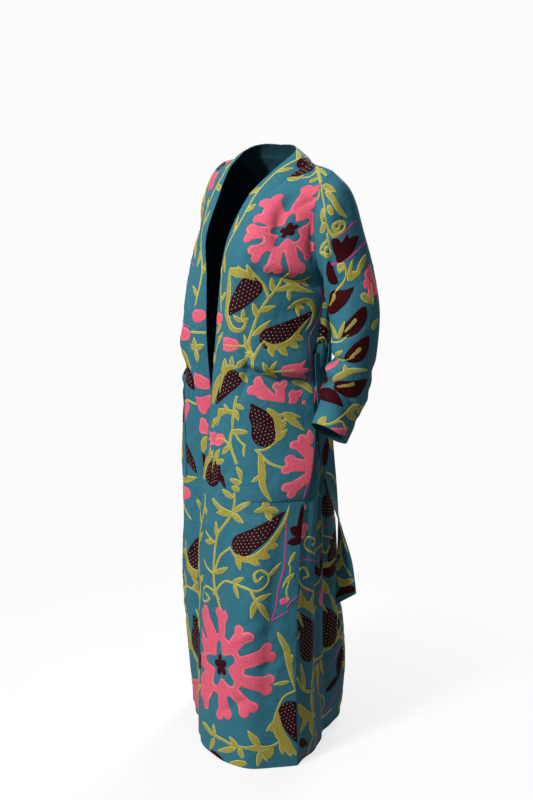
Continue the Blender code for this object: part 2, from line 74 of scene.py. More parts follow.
# %% Sizes and levels
# Metres. The mount, from which the frame measures, is at the neck point of the shoulder seam
CLOTH = 0.0025
BAND_WIDTH, BAND_ROLL = 0.045, 0.003
BELT_THICK, LOOP_THICK, SEAM_GAP = 0.003, 0.002, 0.0003
POCKET_GAPE = 0.016
MOUNT_HEIGHT = 1.424
HEM, SHIN, KNEE, HIP, WAIST, UNDERARM = 0.0, 0.30, 0.55, 0.83, 1.02, 1.17
CHEST, COLLARBONE, YOKE, SHOULDER = 1.25, 1.34, 1.42, 1.475
POCKET_BOTTOM, POCKET_TOP = 0.665, 0.915
BELT_BOTTOM, BELT_TOP = 0.965, 1.015
ROW_STEPS = (
    # from, to, steps
    (HEM, 0.30, 5),
    (0.30, POCKET_BOTTOM, 6),
    (POCKET_BOTTOM, POCKET_TOP, 6),
    (POCKET_TOP, BELT_BOTTOM, 2),
    (BELT_BOTTOM, BELT_TOP, 2),
    (BELT_TOP, UNDERARM, 3),
    (UNDERARM, SHOULDER, 9),
)
print("levels in the coarse grid:", 1 + sum(steps for low, high, steps in ROW_STEPS))

# %% The hang of each piece
# The left front, a row for each height: its band seam in plan and height above the floor, the
# length and the forward swing in degrees of the cloth there, then the same at the side
LEFT_FRONT_ROWS = (
    # up, seam_x, seam_y, height, seam_reach, seam_swing, side_reach, side_swing
    (HEM, -0.056, -0.165, 0.000, 0.150, 37, 0.110, 58),
    (SHIN, -0.040, -0.166, 0.300, 0.130, 28, 0.100, 60),
    (KNEE, -0.020, -0.169, 0.550, 0.115, 20, 0.100, 66),
    (HIP, 0.016, -0.163, 0.830, 0.080, 10, 0.100, 74),
    (WAIST, 0.042, -0.166, 1.020, 0.065, 0, 0.090, 84),
    (UNDERARM, 0.053, -0.160, 1.170, 0.065, -2, 0.090, 84),
    (CHEST, 0.066, -0.152, 1.250, 0.055, -4, 0.085, 72),
    (COLLARBONE, 0.092, -0.112, 1.335, 0.040, -6, 0.050, 45),
    (YOKE, 0.114, -0.038, 1.390, 0.030, -6, 0.032, 15),
)
# The right front seen as if it were a left one; below the hip it hangs behind the left front
RIGHT_FRONT_ROWS = (
    # up, seam_x, seam_y, height, seam_reach, seam_swing, side_reach, side_swing
    (HEM, 0.030, -0.140, 0.000, 0.060, -12, 0.050, 20),
    (SHIN, 0.035, -0.146, 0.300, 0.060, 5, 0.080, 55),
    (KNEE, 0.040, -0.140, 0.550, 0.060, 8, 0.090, 64),
    (HIP, 0.072, -0.143, 0.830, 0.045, 14, 0.115, 74),
    (WAIST, 0.080, -0.155, 1.020, 0.045, 0, 0.100, 82),
    (UNDERARM, 0.084, -0.143, 1.170, 0.045, -12, 0.080, 76),
    (CHEST, 0.095, -0.117, 1.250, 0.040, -22, 0.045, 50),
    (COLLARBONE, 0.098, -0.090, 1.335, 0.035, -14, 0.045, 42),
    (YOKE, 0.114, -0.038, 1.390, 0.030, -6, 0.032, 15),
)
# The left half of the back: the length and direction of the cloth as it leaves the side, in
# degrees from +X, then the centre back and the length of cloth that lies square across it
BACK_ROWS = (
    # up, side_reach, side_swing, centre_y, height, centre_reach
    (HEM, 0.170, 113, 0.277, 0.000, 0.075),
    (SHIN, 0.150, 104, 0.243, 0.300, 0.080),
    (KNEE, 0.130, 98, 0.199, 0.550, 0.090),
    (HIP, 0.080, 92, 0.137, 0.830, 0.110),
    (WAIST, 0.075, 92, 0.115, 1.020, 0.100),
    (UNDERARM, 0.070, 98, 0.124, 1.170, 0.110),
    (CHEST, 0.045, 130, 0.134, 1.250, 0.100),
    (COLLARBONE, 0.045, 150, 0.130, 1.335, 0.090),
    (YOKE, 0.050, 165, 0.112, 1.392, 0.080),
)
SIDE_SEAM = (
    # up, x, y, height
    (HEM, 0.213, -0.093, 0.000),
    (SHIN, 0.205, -0.092, 0.300),
    (KNEE, 0.199, -0.074, 0.550),
    (HIP, 0.187, -0.024, 0.830),
    (WAIST, 0.179, -0.004, 1.020),
    (UNDERARM, 0.186, 0.016, 1.165),
)
ARMHOLE_FRONT = (
    # up, x, y, height
    (UNDERARM, 0.186, 0.016, 1.165),
    (1.20, 0.188, -0.006, 1.192),
    (CHEST, 0.191, -0.022, 1.245),
    (COLLARBONE, 0.193, -0.026, 1.327),
    (YOKE, 0.195, -0.008, 1.385),
    (SHOULDER, 0.197, 0.024, 1.410),
)
ARMHOLE_BACK = (
    # up, x, y, height
    (UNDERARM, 0.186, 0.016, 1.165),
    (1.20, 0.186, 0.048, 1.192),
    (CHEST, 0.187, 0.080, 1.245),
    (COLLARBONE, 0.189, 0.086, 1.327),
    (YOKE, 0.193, 0.062, 1.385),
    (SHOULDER, 0.197, 0.024, 1.410),
)
# The shoulder seam runs to the neck point, and the back neck on to the centre back
SHOULDER_SEAM = (
    # x, y, height
    (0.197, 0.024, 1.410),
    (0.174, 0.022, 1.418),
    (0.150, 0.021, 1.422),
    (0.124, 0.020, 1.424),
)
BACK_NECK = (
    # x, y, height
    (0.124, 0.020, 1.424),
    (0.120, 0.054, 1.429),
    (0.062, 0.088, 1.428),
    (0.000, 0.088, 1.426),
)
NECK_POINT = 0.42
# Which way the band stands from its seam towards its free edge, up the front and round the neck
BAND_ROWS = (
    # up, out_x, left_out_y, right_out_y, out_z
    (HEM, -0.87, 0.50, 0.20, 0.00),
    (SHIN, -0.90, 0.44, 0.15, 0.00),
    (KNEE, -0.93, 0.37, 0.20, 0.00),
    (HIP, -0.94, 0.34, 0.25, 0.00),
    (WAIST, -0.93, 0.36, 0.22, 0.00),
    (UNDERARM, -0.91, 0.40, 0.05, 0.06),
    (CHEST, -0.88, 0.40, -0.25, 0.20),
    (COLLARBONE, -0.82, 0.34, 0.16, 0.38),
    (YOKE, -0.86, 0.06, 0.06, 0.42),
    (SHOULDER, -0.86, -0.14, -0.14, 0.38),
)
BAND_AT_CENTRE_BACK = (0.0, -0.62, 0.78)

# Sections down a sleeve after its armhole: the heights and distances from the centre of its outer
# and inner points, its half depth, and on each side how far back it is and how far it tips forward
SLEEVE_RINGS = (
    # outer_x, outer_h, inner_x, inner_h, half_depth, left_y, left_tip, right_y, right_tip
    (0.229, 1.374, 0.211, 1.150, 0.054, 0.030, 0, 0.032, 0),
    (0.249, 1.300, 0.208, 1.124, 0.058, 0.037, -6, 0.040, -4),
    (0.270, 1.205, 0.203, 1.092, 0.061, 0.051, -13, 0.052, -8),
    (0.293, 1.110, 0.207, 1.048, 0.059, 0.053, -7, 0.058, -6),
    (0.296, 1.030, 0.210, 1.002, 0.059, 0.046, 5, 0.058, 0),
    (0.294, 0.965, 0.211, 0.955, 0.058, 0.034, 21, 0.054, 4),
    (0.290, 0.895, 0.211, 0.892, 0.055, 0.008, 30, 0.044, 10),
    (0.286, 0.828, 0.211, 0.828, 0.050, -0.032, 37, 0.028, 16),
)

# How far the right of the coat has swung back, for each height
SWAY_ROWS = (
    # height, back
    (0.00, 0.050),
    (0.30, 0.032),
    (0.60, 0.008),
    (0.85, 0.000),
    (1.05, 0.000),
    (1.26, 0.036),
    (1.45, 0.038),
)

# Soft folds that stand out of the cloth, or sink into it where the height is negative.
# across runs from the band seam or centre back, at 0, to the side, at 1
FRONT_FOLDS = (
    # across_low, across_high, up_low, up_high, stands, half_width, blend
    (0.62, 0.70, -0.20, 0.60, 0.009, 0.13, 0.20),
    (0.28, 0.20, -0.20, 0.70, -0.007, 0.12, 0.25),
    (0.10, 0.24, 0.98, 1.30, 0.006, 0.12, 0.08),
    (0.62, 0.50, 1.22, 1.40, -0.007, 0.11, 0.05),
)
BACK_FOLDS = (
    # across_low, across_high, up_low, up_high, stands, half_width, blend
    (0.84, 0.93, -0.20, 0.92, 0.012, 0.06, 0.25),
    (0.66, 0.78, -0.20, 0.86, -0.014, 0.08, 0.30),
    (0.46, 0.56, -0.20, 0.80, 0.013, 0.08, 0.30),
    (0.24, 0.30, -0.20, 0.70, -0.012, 0.09, 0.30),
    (0.00, 0.00, -0.20, 0.90, 0.012, 0.10, 0.35),
    (0.55, 0.35, 1.08, 1.28, -0.007, 0.12, 0.07),
)
# The front hangs over itself in a slanting fold just above the pocket
WAIST_FOLD_AT_SEAM, WAIST_FOLD_AT_SIDE = 0.985, 0.945
WAIST_FOLD_HALF, WAIST_FOLD_STANDS = 0.030, 0.009

# The path of a hanging belt end on the left, from its loop down, and how its width turns
BELT_END_PATH = (
    # x, y, height, width direction in degrees from +X, width
    (0.1853, -0.004, 1.002, 91, 0.022),
    (0.1872, 0.000, 0.960, 91, 0.032),
    (0.1950, 0.010, 0.870, 90, 0.046),
    (0.1975, 0.014, 0.775, 92, 0.050),
    (0.1985, 0.038, 0.665, 112, 0.050),
    (0.2000, 0.062, 0.575, 140, 0.048),
    (0.2000, 0.083, 0.475, 176, 0.052),
    (0.1980, 0.093, 0.370, 206, 0.052),
)
# A belt loop, from the columns of the back that it covers to how far it stands over the belt
LOOP_COLUMNS = (2.6, 3.3, 4.0)
LOOP_ROWS = (
    # up, stands
    (BELT_BOTTOM - 0.020, 0.0),
    (BELT_BOTTOM - 0.008, 0.0),
    (BELT_BOTTOM - 0.002, 1.05),
    (BELT_BOTTOM + 0.012, 1.25),
    (BELT_TOP - 0.012, 1.25),
    (BELT_TOP + 0.002, 1.05),
    (BELT_TOP + 0.008, 0.0),
    (BELT_TOP + 0.020, 0.0),
)
print("a sleeve has", len(SLEEVE_RINGS), "sections and the back", len(BACK_ROWS), "levels")


# %% [markdown]
# Curves. Every level line of cloth is a Bezier curve between two seams, and a table is read
# between its rows on a smooth curve. That makes a wall of cloth with no kinks, as heavy
# embroidered cotton hangs.

# %% Curves between seams
def smooth_through(rows, where):
    """The values of a table at a place between its rows, on a smooth curve through them all."""
    places = [row[0] for row in rows]
    values = [np.array(row[1:], float) for row in rows]
    last = len(rows) - 1
    k = min(max(sum(p <= where for p in places) - 1, 0), last - 1)
    span = places[k + 1] - places[k]

    def slope(i):
        before, after = max(i - 1, 0), min(i + 1, last)
        return (values[after] - values[before]) / (places[after] - places[before])

    t = (where - places[k]) / span
    start, end = slope(k) * span, slope(k + 1) * span
    return (
        (2 * t**3 - 3 * t**2 + 1) * values[k]
        + (t**3 - 2 * t**2 + t) * start
        + (3 * t**2 - 2 * t**3) * values[k + 1]
        + (t**3 - t**2) * end
    )


def bezier(points, t):
    a, b, c, d = (np.array(p, float) for p in points)
    t = np.asarray(t, float)[..., None]
    s = 1 - t
    return s**3 * a + 3 * s * s * t * b + 3 * s * t * t * c + t**3 * d


def soft_step(low, high, value):
    t = np.clip((value - low) / (high - low), 0.0, 1.0)
    return t * t * (3 - 2 * t)


def turned(degrees):
    return np.array([math.cos(math.radians(degrees)), math.sin(math.radians(degrees)), 0.0])


def side_point(up, armhole):
    return smooth_through(SIDE_SEAM if up <= UNDERARM else armhole, up)


def level_curve(start, reach, swing, end, end_reach, end_swing, across):
    rise = (end[2] - start[2]) / 3 * np.array([0, 0, 1])
    near_start = start + reach * turned(swing) + rise
    near_end = end - end_reach * turned(end_swing) - rise
    return bezier((start, near_start, near_end, end), across)


def front_line(rows, up, across):
    """One level of a front, from its band seam to its side."""
    rows = rows + ((SHOULDER, *SHOULDER_SEAM[3], 0.024, 0, 0.024, 0),)

    def by_rows(level):
        x, y, z, reach, swing, side_reach, side_swing = smooth_through(rows, level)
        side = side_point(level, ARMHOLE_FRONT)
        return level_curve(np.array([x, y, z]), reach, -swing, side, side_reach, side_swing, across)

    to_seam = bezier(SHOULDER_SEAM, 1 - across) - by_rows(SHOULDER)
    return by_rows(up) + soft_step(COLLARBONE, SHOULDER, up) * to_seam


def back_line(up, across):
    """One level of the left half of the back, from its side to the centre."""
    rows = BACK_ROWS + ((SHOULDER, 0.050, 180, *BACK_NECK[3][1:], 0.060),)

    def by_rows(level):
        reach, swing, centre_y, centre_z, centre_reach = smooth_through(rows, level)
        side = side_point(level, ARMHOLE_BACK)
        return level_curve(side, reach, swing, np.array([0, centre_y, centre_z]), centre_reach, 180, across)

    shoulder = bezier(SHOULDER_SEAM, np.clip(across / NECK_POINT, 0, 1))
    neck = bezier(BACK_NECK, np.clip((across - NECK_POINT) / (1 - NECK_POINT), 0, 1))
    to_seam = np.where(across[:, None] < NECK_POINT, shoulder, neck) - by_rows(SHOULDER)
    return by_rows(up) + soft_step(COLLARBONE, SHOULDER, up) * to_seam


waist_line = front_line(LEFT_FRONT_ROWS, WAIST, np.array([0.0, 0.5, 1.0]))
print("the left front at the waist:", np.round(waist_line, 3).tolist())

# %% [markdown]
# Folds come in two sizes. The large ones, which the solids have too, run nearly the whole
# length. The small creases, where cloth is caught at the bust, waist, elbow and pocket, are
# placed one by one in the flat centimetres of each piece: x from its seam or middle, y from its
# hem, then how far it stands out in millimetres and how wide it is.

# %% Large folds
def fold_height(folds, up, across):
    height = np.zeros_like(across)
    for across_low, across_high, up_low, up_high, stands, half_width, blend in folds:
        middle = across_low + (across_high - across_low) * (up - up_low) / (up_high - up_low)
        fade = soft_step(up_low, up_low + blend, up) * (1 - soft_step(up_high - blend, up_high, up))
        height += stands * fade * np.exp(-(((across - middle) / half_width) ** 2))
    return height


def waist_fold(up, across):
    line = WAIST_FOLD_AT_SEAM + (WAIST_FOLD_AT_SIDE - WAIST_FOLD_AT_SEAM) * across
    t = (up - line) / WAIST_FOLD_HALF
    return WAIST_FOLD_STANDS * soft_step(0.05, 0.4, across) * t * np.exp(0.5 - t * t / 2)


def held_edge(across):
    return soft_step(0.0, 0.12, across) * soft_step(0.0, 0.12, 1 - across)


def grid_normals(points, closed=False):
    if closed:
        ring = np.concatenate([points[-1:], points, points[:1]])
        along = ring[2:] - ring[:-2]
    else:
        along = np.gradient(points, axis=0)
    normals = np.cross(along, np.gradient(points, axis=1))
    return normals / np.linalg.norm(normals, axis=2, keepdims=True)


knee_folds = fold_height(BACK_FOLDS, KNEE, np.linspace(0, 1, 5))
print("folds of the back at the knee, in mm:", np.round(knee_folds * 1000, 1).tolist())

# %% Small creases
# x0, y0, x1, y1, stands in mm, half width in cm
CREASES = {
    "front_left": (
        (6.1, 120.6, 11.7, 118.5, -5.0, 0.9),
        (10, 118.9, 22.5, 116.2, -9.0, 1.1),
        (22, 119.6, 8, 122.4, 7.0, 1.5),
        (21, 113, 12, 109, -3.4, 1.2),
        (5, 103, 9, 94, -5.1, 0.8),
        (8, 101, 13, 95, 4.1, 0.8),
        (2, 98, 6, 91, -4.1, 0.8),
        (6.1, 97.4, 12, 95.0, -7.5, 0.7),
        (6.5, 99.2, 12, 97.4, 4.5, 0.9),
        (10.3, 95.5, 20, 93.3, -5.5, 0.9),
        (6.6, 102, 6.1, 89.9, -5.0, 0.8),
        (14, 97.5, 23, 95.5, 4.6, 1.1),
        (14.5, 133, 20.5, 121, -6.0, 1.1),
        (9, 128, 4, 136, -3.1, 1.0),
        (14, 142, 9, 134, -3.7, 1.2),
        (9, 70, 7, 22, -6.8, 2.4),
        (17, 62, 16, 20, 7.6, 2.8),
        (22, 60, 23, 12, -5.1, 2.0),
        (12, 50, 20, 43, -3.4, 0.9),
        (3, 36, 9, 28, -3.7, 1.0),
        (13, 31, 21, 37, 3.4, 1.0),
        (20, 19, 11, 12, -4.1, 1.1),
        (27, 30, 20, 24, -3.1, 0.9),
        (6, 14, 14, 7, 3.1, 1.0),
        (7, 64, 22, 63, -3.7, 0.7),
        (4, 84, 9, 78, -3.1, 0.8),
        (6, 74, 2, 66, -3.4, 0.9),
    ),
    "front_right": (
        (20, 117, 6, 118.5, -5.6, 1.1),
        (18, 121, 5, 123, 4.8, 1.3),
        (3, 104, 8, 94, -4.2, 0.9),
        (9, 100, 15, 93, -3.8, 0.9),
        (8, 68, 7, 24, 5.6, 2.4),
        (13, 60, 12, 18, -5.6, 2.2),
        (5, 48, 12, 42, -3.2, 0.9),
        (16, 30, 9, 24, -3.2, 1.0),
        (4, 88, 9, 82, -2.9, 0.8),
        (6, 14, 13, 9, 2.9, 1.0),
    ),
    "back": (
        (24.5, 8, 22.5, 64, -10.5, 1.1),
        (27.5, 12, 27, 56, 6.8, 1.6),
        (34, 6, 31, 48, -5.2, 1.5),
        (16, 10, 14, 62, 6.8, 2.0),
        (8, 16, 7, 54, -5.2, 2.0),
        (-5, 8, -6, 60, 5.2, 2.2),
        (-15, 10, -13, 66, -7.5, 1.8),
        (-23, 12, -21, 58, 6.8, 1.8),
        (-30, 6, -28, 46, -6.8, 1.6),
        (-37, 14, -34, 40, 4.5, 1.5),
        (18, 101, 2, 96, -4.5, 1.2),
        (-17, 100, -4, 97, -3.9, 1.3),
        (19, 106, 8, 104, 3.9, 1.2),
        (-20, 105, -9, 108, 4.2, 1.2),
        (18, 118, 9, 124, -6.0, 1.4),
        (-18, 117, -8, 123, -5.1, 1.4),
        (13, 135, 4, 139, -3.3, 1.2),
        (-12, 134, -4, 138, -3.6, 1.3),
        (22, 92, 12, 78, -3.9, 1.4),
        (-20, 90, -11, 74, -3.6, 1.6),
        (29, 55, 24, 47, -3.0, 0.8),
        (40, 30, 34, 24, -3.0, 0.9),
        (31.0, -9, 30.0, 14, 15.0, 4.2),
        (24, -6, 23, 12, 7.0, 3.2),
        (16, 2, 14, 32, 13.0, 5.0),
        (20, 88, 21, 116, 12.0, 4.5),
    ),
    "sleeve_left": (
        (14, 4, 6, 14, -7.6, 1.3),
        (12, 1, 4, 8, 5.1, 1.4),
        (16, 12, 8, 22, -6.1, 1.3),
        (3, 12, -3, 25, 4.1, 1.8),
        (14, 31, 4, 35, -11.0, 1.1),
        (14, 34.5, 3, 39, 9.0, 1.1),
        (13, 38, 0, 43, -13.5, 1.0),
        (12, 41, 3, 46, 9.0, 1.1),
        (9, 28, 2, 26, -4.1, 1.0),
        (-2, 36, -10, 33, -5.1, 1.2),
        (-1, 41, -11, 40, 4.4, 1.2),
        (2, 47, -8, 45, -5.1, 0.9),
        (-14, 8, -8, 20, -5.8, 1.6),
        (-12, 26, -6, 35, 4.8, 1.4),
        (-15, 36, -8, 42, -5.1, 1.1),
        (10, 46, 4, 49, -4.1, 0.8),
        (17.5, 5, 16.0, 33, 6.0, 4.0),
        (15, 30, 6, 36, -5.0, 1.0),
        (14, 37, 4, 41, 5.0, 1.2),
        (25.5, 7, 21.5, 33, 13.0, 3.6),
        (-25.5, 7, -21.5, 33, 13.0, 3.6),
    ),
}
CREASES["sleeve_right"] = tuple(
    (-x0 * 0.9, y0 + 2, -x1 * 1.1, y1 + 1, stands * 0.9, wide)
    for x0, y0, x1, y1, stands, wide in CREASES["sleeve_left"]
)


def crease_height(name, x, y):
    """How far the small creases of a piece move its cloth, in metres."""
    height = np.zeros_like(x)
    for x0, y0, x1, y1, stands, wide in CREASES.get(name, ()):
        run = np.array([x1 - x0, y1 - y0], float)
        t = ((x - x0) * run[0] + (y - y0) * run[1]) / (run @ run)
        held = np.clip(t, 0, 1)
        apart = np.hypot(x - x0 - held * run[0], y - y0 - held * run[1])
        along = 0.25 + 0.75 * np.sin(np.pi * held) ** 0.7
        height += stands / 1000 * along * np.exp(-((apart / wide) ** 2))
    return height


print("small creases:", {name: len(rows) for name, rows in CREASES.items()})

# %% [markdown]
# Now the pieces themselves. Each is a grid of points, across and up, with the flat place of
# every point beside it. The fine grid has a point about every 6 mm, enough for a crease to
# round over. Pieces share their seam points, so no gap opens between them.

# %% Grids of cloth
COLUMNS, NECK_COLUMNS, BAND_COLUMNS, SLEEVE_STEPS = 50, 25, 8, 90
FINER = 6
LEVELS = [HEM]
for low, high, steps in ROW_STEPS:
    fine_steps = steps * FINER
    LEVELS += [low + (high - low) * k / fine_steps for k in range(1, fine_steps + 1)]
LEVELS = np.array(LEVELS)
FLIP = np.array([-1.0, 1.0, 1.0])


class Piece:
    """A piece of cloth: its inner points, the way out of its face, and its flat places in cm."""

    def __init__(self, name, points, closed=False):
        self.name, self.points, self.closed = name, points, closed
        self.out = grid_normals(points, closed)
        self.lay_flat()

    def lay_flat(self):
        ring = np.concatenate([self.points, self.points[:1]]) if self.closed else self.points
        steps = np.linalg.norm(np.diff(ring, axis=0), axis=2)
        x = np.concatenate([np.zeros((1, ring.shape[1])), np.cumsum(steps, axis=0)]) * 100
        if self.closed or self.name == "back":
            x = x - x[-1] / 2
        if self.name == "back":
            x = -x
        if self.name in ("front_right", "band_left"):
            x = x[-1] - x
        self.x = x
        if self.closed:
            middle = self.points.mean(0)
            run = np.linalg.norm(np.diff(middle, axis=0), axis=1)
            self.y = np.concatenate([[0], np.cumsum(run)]) * 100
        else:
            self.y = LEVELS * 100
            if len(self.y) < self.points.shape[1]:
                extra = self.points.shape[1] - len(self.y)
                step = np.linalg.norm(np.diff(self.points[-1, -extra - 1 :], axis=0), axis=1)
                self.y = np.concatenate([self.y, self.y[-1] + np.cumsum(step) * 100])

    def crease(self):
        """Adds the small creases, which fade out near the seams and over the shoulder."""
        x = self.x[:-1] if self.closed else self.x
        height = crease_height(self.name, x, np.broadcast_to(self.y, x.shape))
        if self.closed:
            height = height * soft_step(0, 3, self.y) * soft_step(0, 2, self.y[-1] - self.y)
        else:
            share = np.linspace(0, 1, len(x))[:, None]
            height = height * soft_step(0, 0.05, share) * soft_step(0, 0.05, 1 - share)
            height = height * (1 - soft_step(140, 147, self.y))
        self.points = self.points + self.out * height[:, :, None]
        self.out = grid_normals(self.points, self.closed)


def make_front(name, rows):
    across = np.linspace(0, 1, COLUMNS + 1)
    points = np.array([front_line(rows, up, across) for up in LEVELS]).transpose(1, 0, 2)
    folds = []
    for up in LEVELS:
        height = fold_height(FRONT_FOLDS, up, across) + waist_fold(up, across)
        folds.append(held_edge(across) * height)
    folds = np.array(folds).T * (1 - soft_step(COLLARBONE, YOKE, LEVELS))
    return Piece(name, points + grid_normals(points) * folds[:, :, None])


def make_back():
    outer = NECK_POINT * np.arange(COLUMNS) / COLUMNS
    inner = NECK_POINT + (1 - NECK_POINT) * np.arange(NECK_COLUMNS + 1) / NECK_COLUMNS
    across = np.concatenate([outer, inner])
    left = np.array([back_line(up, across) for up in LEVELS]).transpose(1, 0, 2)
    points = np.concatenate([left, left[-2::-1] * FLIP])
    half = [soft_step(0.0, 0.08, across) * fold_height(BACK_FOLDS, up, 1 - across) for up in LEVELS]
    half = np.array(half).T
    folds = np.concatenate([half, half[-2::-1]]) * (1 - soft_step(COLLARBONE, YOKE, LEVELS))
    return Piece("back", points + grid_normals(points) * folds[:, :, None])


def make_sleeve(name, front, back):
    """The armhole comes from the edges of the two panels, so that the sleeve meets them."""
    first = int(np.argmin(abs(LEVELS - UNDERARM)))
    armhole = np.concatenate([front.points[-1, first:], back.points[0, first:][-2:0:-1]])
    rings = [armhole]
    turn = 2 * math.pi * np.arange(len(armhole))[:, None] / len(armhole)
    for outer_x, outer_h, inner_x, inner_h, half_depth, *placing in SLEEVE_RINGS:
        y, tip = placing[:2] if name == "sleeve_left" else placing[2:]
        outer, inner = np.array([outer_x, y, outer_h]), np.array([inner_x, y, inner_h])
        forward = np.array([0.0, -math.cos(math.radians(tip)), math.sin(math.radians(tip))])
        middle, half_width = (outer + inner) / 2, (outer - inner) / 2
        rings.append(middle - np.cos(turn) * half_width + np.sin(turn) * half_depth * forward)
    lengths = np.cumsum([0] + [np.linalg.norm(b.mean(0) - a.mean(0)) for a, b in zip(rings, rings[1:])])
    table = [(place, *ring.ravel()) for place, ring in zip(lengths / lengths[-1], rings)]
    sections = [smooth_through(table, k / SLEEVE_STEPS).reshape(-1, 3) for k in range(SLEEVE_STEPS + 1)]
    return Piece(name, np.array(sections).transpose(1, 0, 2)[::-1], closed=True)


def make_band(name, front, back):
    """Half of the long band: up the front edge and round the neck to the centre back."""
    neck = back.points[COLUMNS : COLUMNS + NECK_COLUMNS + 1, -1]
    seam = np.concatenate([front.points[0], neck[1:]])
    side = 2 if name == "band_left" else 3
    rows = [(row[0], row[1], row[side], row[4]) for row in BAND_ROWS]
    stand = [smooth_through(rows, up) for up in LEVELS]
    last = np.array(BAND_AT_CENTRE_BACK)
    stand += [stand[-1] + (last - stand[-1]) * k / NECK_COLUMNS for k in range(1, NECK_COLUMNS + 1)]
    stand = np.array([way / np.linalg.norm(way) for way in stand])
    face = np.cross(np.gradient(seam, axis=0), stand)
    face /= np.linalg.norm(face, axis=1, keepdims=True)
    columns = []
    for share in 1 - np.arange(BAND_COLUMNS + 1) / BAND_COLUMNS:
        columns.append(seam + stand * BAND_WIDTH * share + face * BAND_ROLL * math.sin(math.pi * share))
    return Piece(name, np.array(columns))


def mirrored(piece, name):
    return Piece(name, piece.points[::-1] * FLIP, piece.closed)


back = make_back()
front_left = make_front("front_left", LEFT_FRONT_ROWS)
front_seen_left = make_front("front_left_pattern", RIGHT_FRONT_ROWS)
pieces = {
    "back": back,
    "front_left": front_left,
    "sleeve_left": make_sleeve("sleeve_left", front_left, back),
    "band_left": make_band("band_left", front_left, back),
    "front_right": mirrored(front_seen_left, "front_right"),
    "sleeve_right": mirrored(make_sleeve("sleeve_right", front_left, back), "sleeve_right"),
    "band_right": mirrored(make_band("band_right", front_seen_left, back), "band_right"),
}
for piece in pieces.values():
    piece.crease()
print("girth at the hem:", round(float(back.x.max() - back.x.min()), 1), "cm of back")

# %% [markdown]
# At a seam two walls of cloth meet at an angle. If each kept its own way out, a gap or an
# overlap would show, so both take the mean of the two, as two folded seam edges press together.
# Then the right of the coat swings back a little.

# %% Meet at the seams
# The mean way out is lengthened as a mitre is, up to this limit
MITRE_LIMIT = 0.74
ways = {}
for piece in pieces.values():
    edge = np.zeros(piece.points.shape[:2], bool)
    edge[:, [0, -1]] = True
    if not piece.closed:
        edge[[0, -1], :] = True
    piece.edge = edge
    for i, j in zip(*np.nonzero(edge)):
        ways.setdefault(tuple(np.round(piece.points[i, j], 5)), []).append(piece.out[i, j])
for piece in pieces.values():
    piece.sewn = np.zeros(piece.points.shape[:2], bool)
    for i, j in zip(*np.nonzero(piece.edge)):
        met = ways[tuple(np.round(piece.points[i, j], 5))]
        if len(met) > 1:
            way = np.sum(met, axis=0)
            way /= np.linalg.norm(way)
            piece.out[i, j] = way / max(min(way @ one for one in met), MITRE_LIMIT)
            piece.sewn[i, j] = True
print("seam points shared:", sum(len(met) > 1 for met in ways.values()))

# %% Swing back
# Metres to the right of the middle where it starts, and over which it grows
SWAY_STARTS, SWAY_GROWS_OVER = 0.02, 0.22


def swayed(points):
    """Swings the right of the coat back, and measures heights from the mount."""
    x, y, z = points.reshape(-1, 3).T
    z = np.maximum(z, 0)
    share = np.clip((-x - SWAY_STARTS) / SWAY_GROWS_OVER, 0, 1)
    heights = np.linspace(0, 1.5, 301)
    table = [smooth_through(SWAY_ROWS, h)[0] for h in heights]
    y = y + np.interp(z, heights, table) * share * share * (3 - 2 * share)
    return np.stack([x, y, z - MOUNT_HEIGHT], axis=1).reshape(points.shape)


print("the right hem swings back by", round(float(swayed(np.array([[-0.3, 0, 0]]))[0, 1]), 3), "m")


# %% [markdown]
# Materials. The ground is cotton, woven plain and dyed teal: dull, with a faint bloom of fibre
# at grazing angles. Its threads are about 0.3 mm apart, too fine for the picture, so the weave
# is drawn at 1.2 mm. Colours are read as the usual sRGB hex values and turned to linear light.

# %% Colour and node helpers
def linear(hex_colour):
    """An sRGB hex value as linear red, green, blue and alpha."""
    parts = [int(hex_colour[k : k + 2], 16) / 255 for k in (1, 3, 5)]
    return tuple(c / 12.92 if c <= 0.04045 else ((c + 0.055) / 1.055) ** 2.4 for c in parts) + (1.0,)


def add(tree, kind, inputs=None, **settings):
    """A new node with its settings: a socket is linked to an input, and a value or hex is set."""
    node = tree.nodes.new("ShaderNode" + kind)
    for key, value in settings.items():
        setattr(node, key, value)
    for key, value in (inputs or {}).items():
        if isinstance(value, bpy.types.NodeSocket):
            tree.links.new(value, node.inputs[key])
        else:
            node.inputs[key].default_value = linear(value) if isinstance(value, str) else value
    return node


def new_material(name):
    material = bpy.data.materials.new(name)
    material.use_nodes = True
    tree = material.node_tree
    return material, tree, tree.nodes["Principled BSDF"]


print("teal in linear light:", [round(c, 3) for c in linear("#2A7089")])

# %% Woven cotton
# Cotton fibre bends light by 1.53
COTTON_IOR = 1.53
WEAVE_MM = 1.2


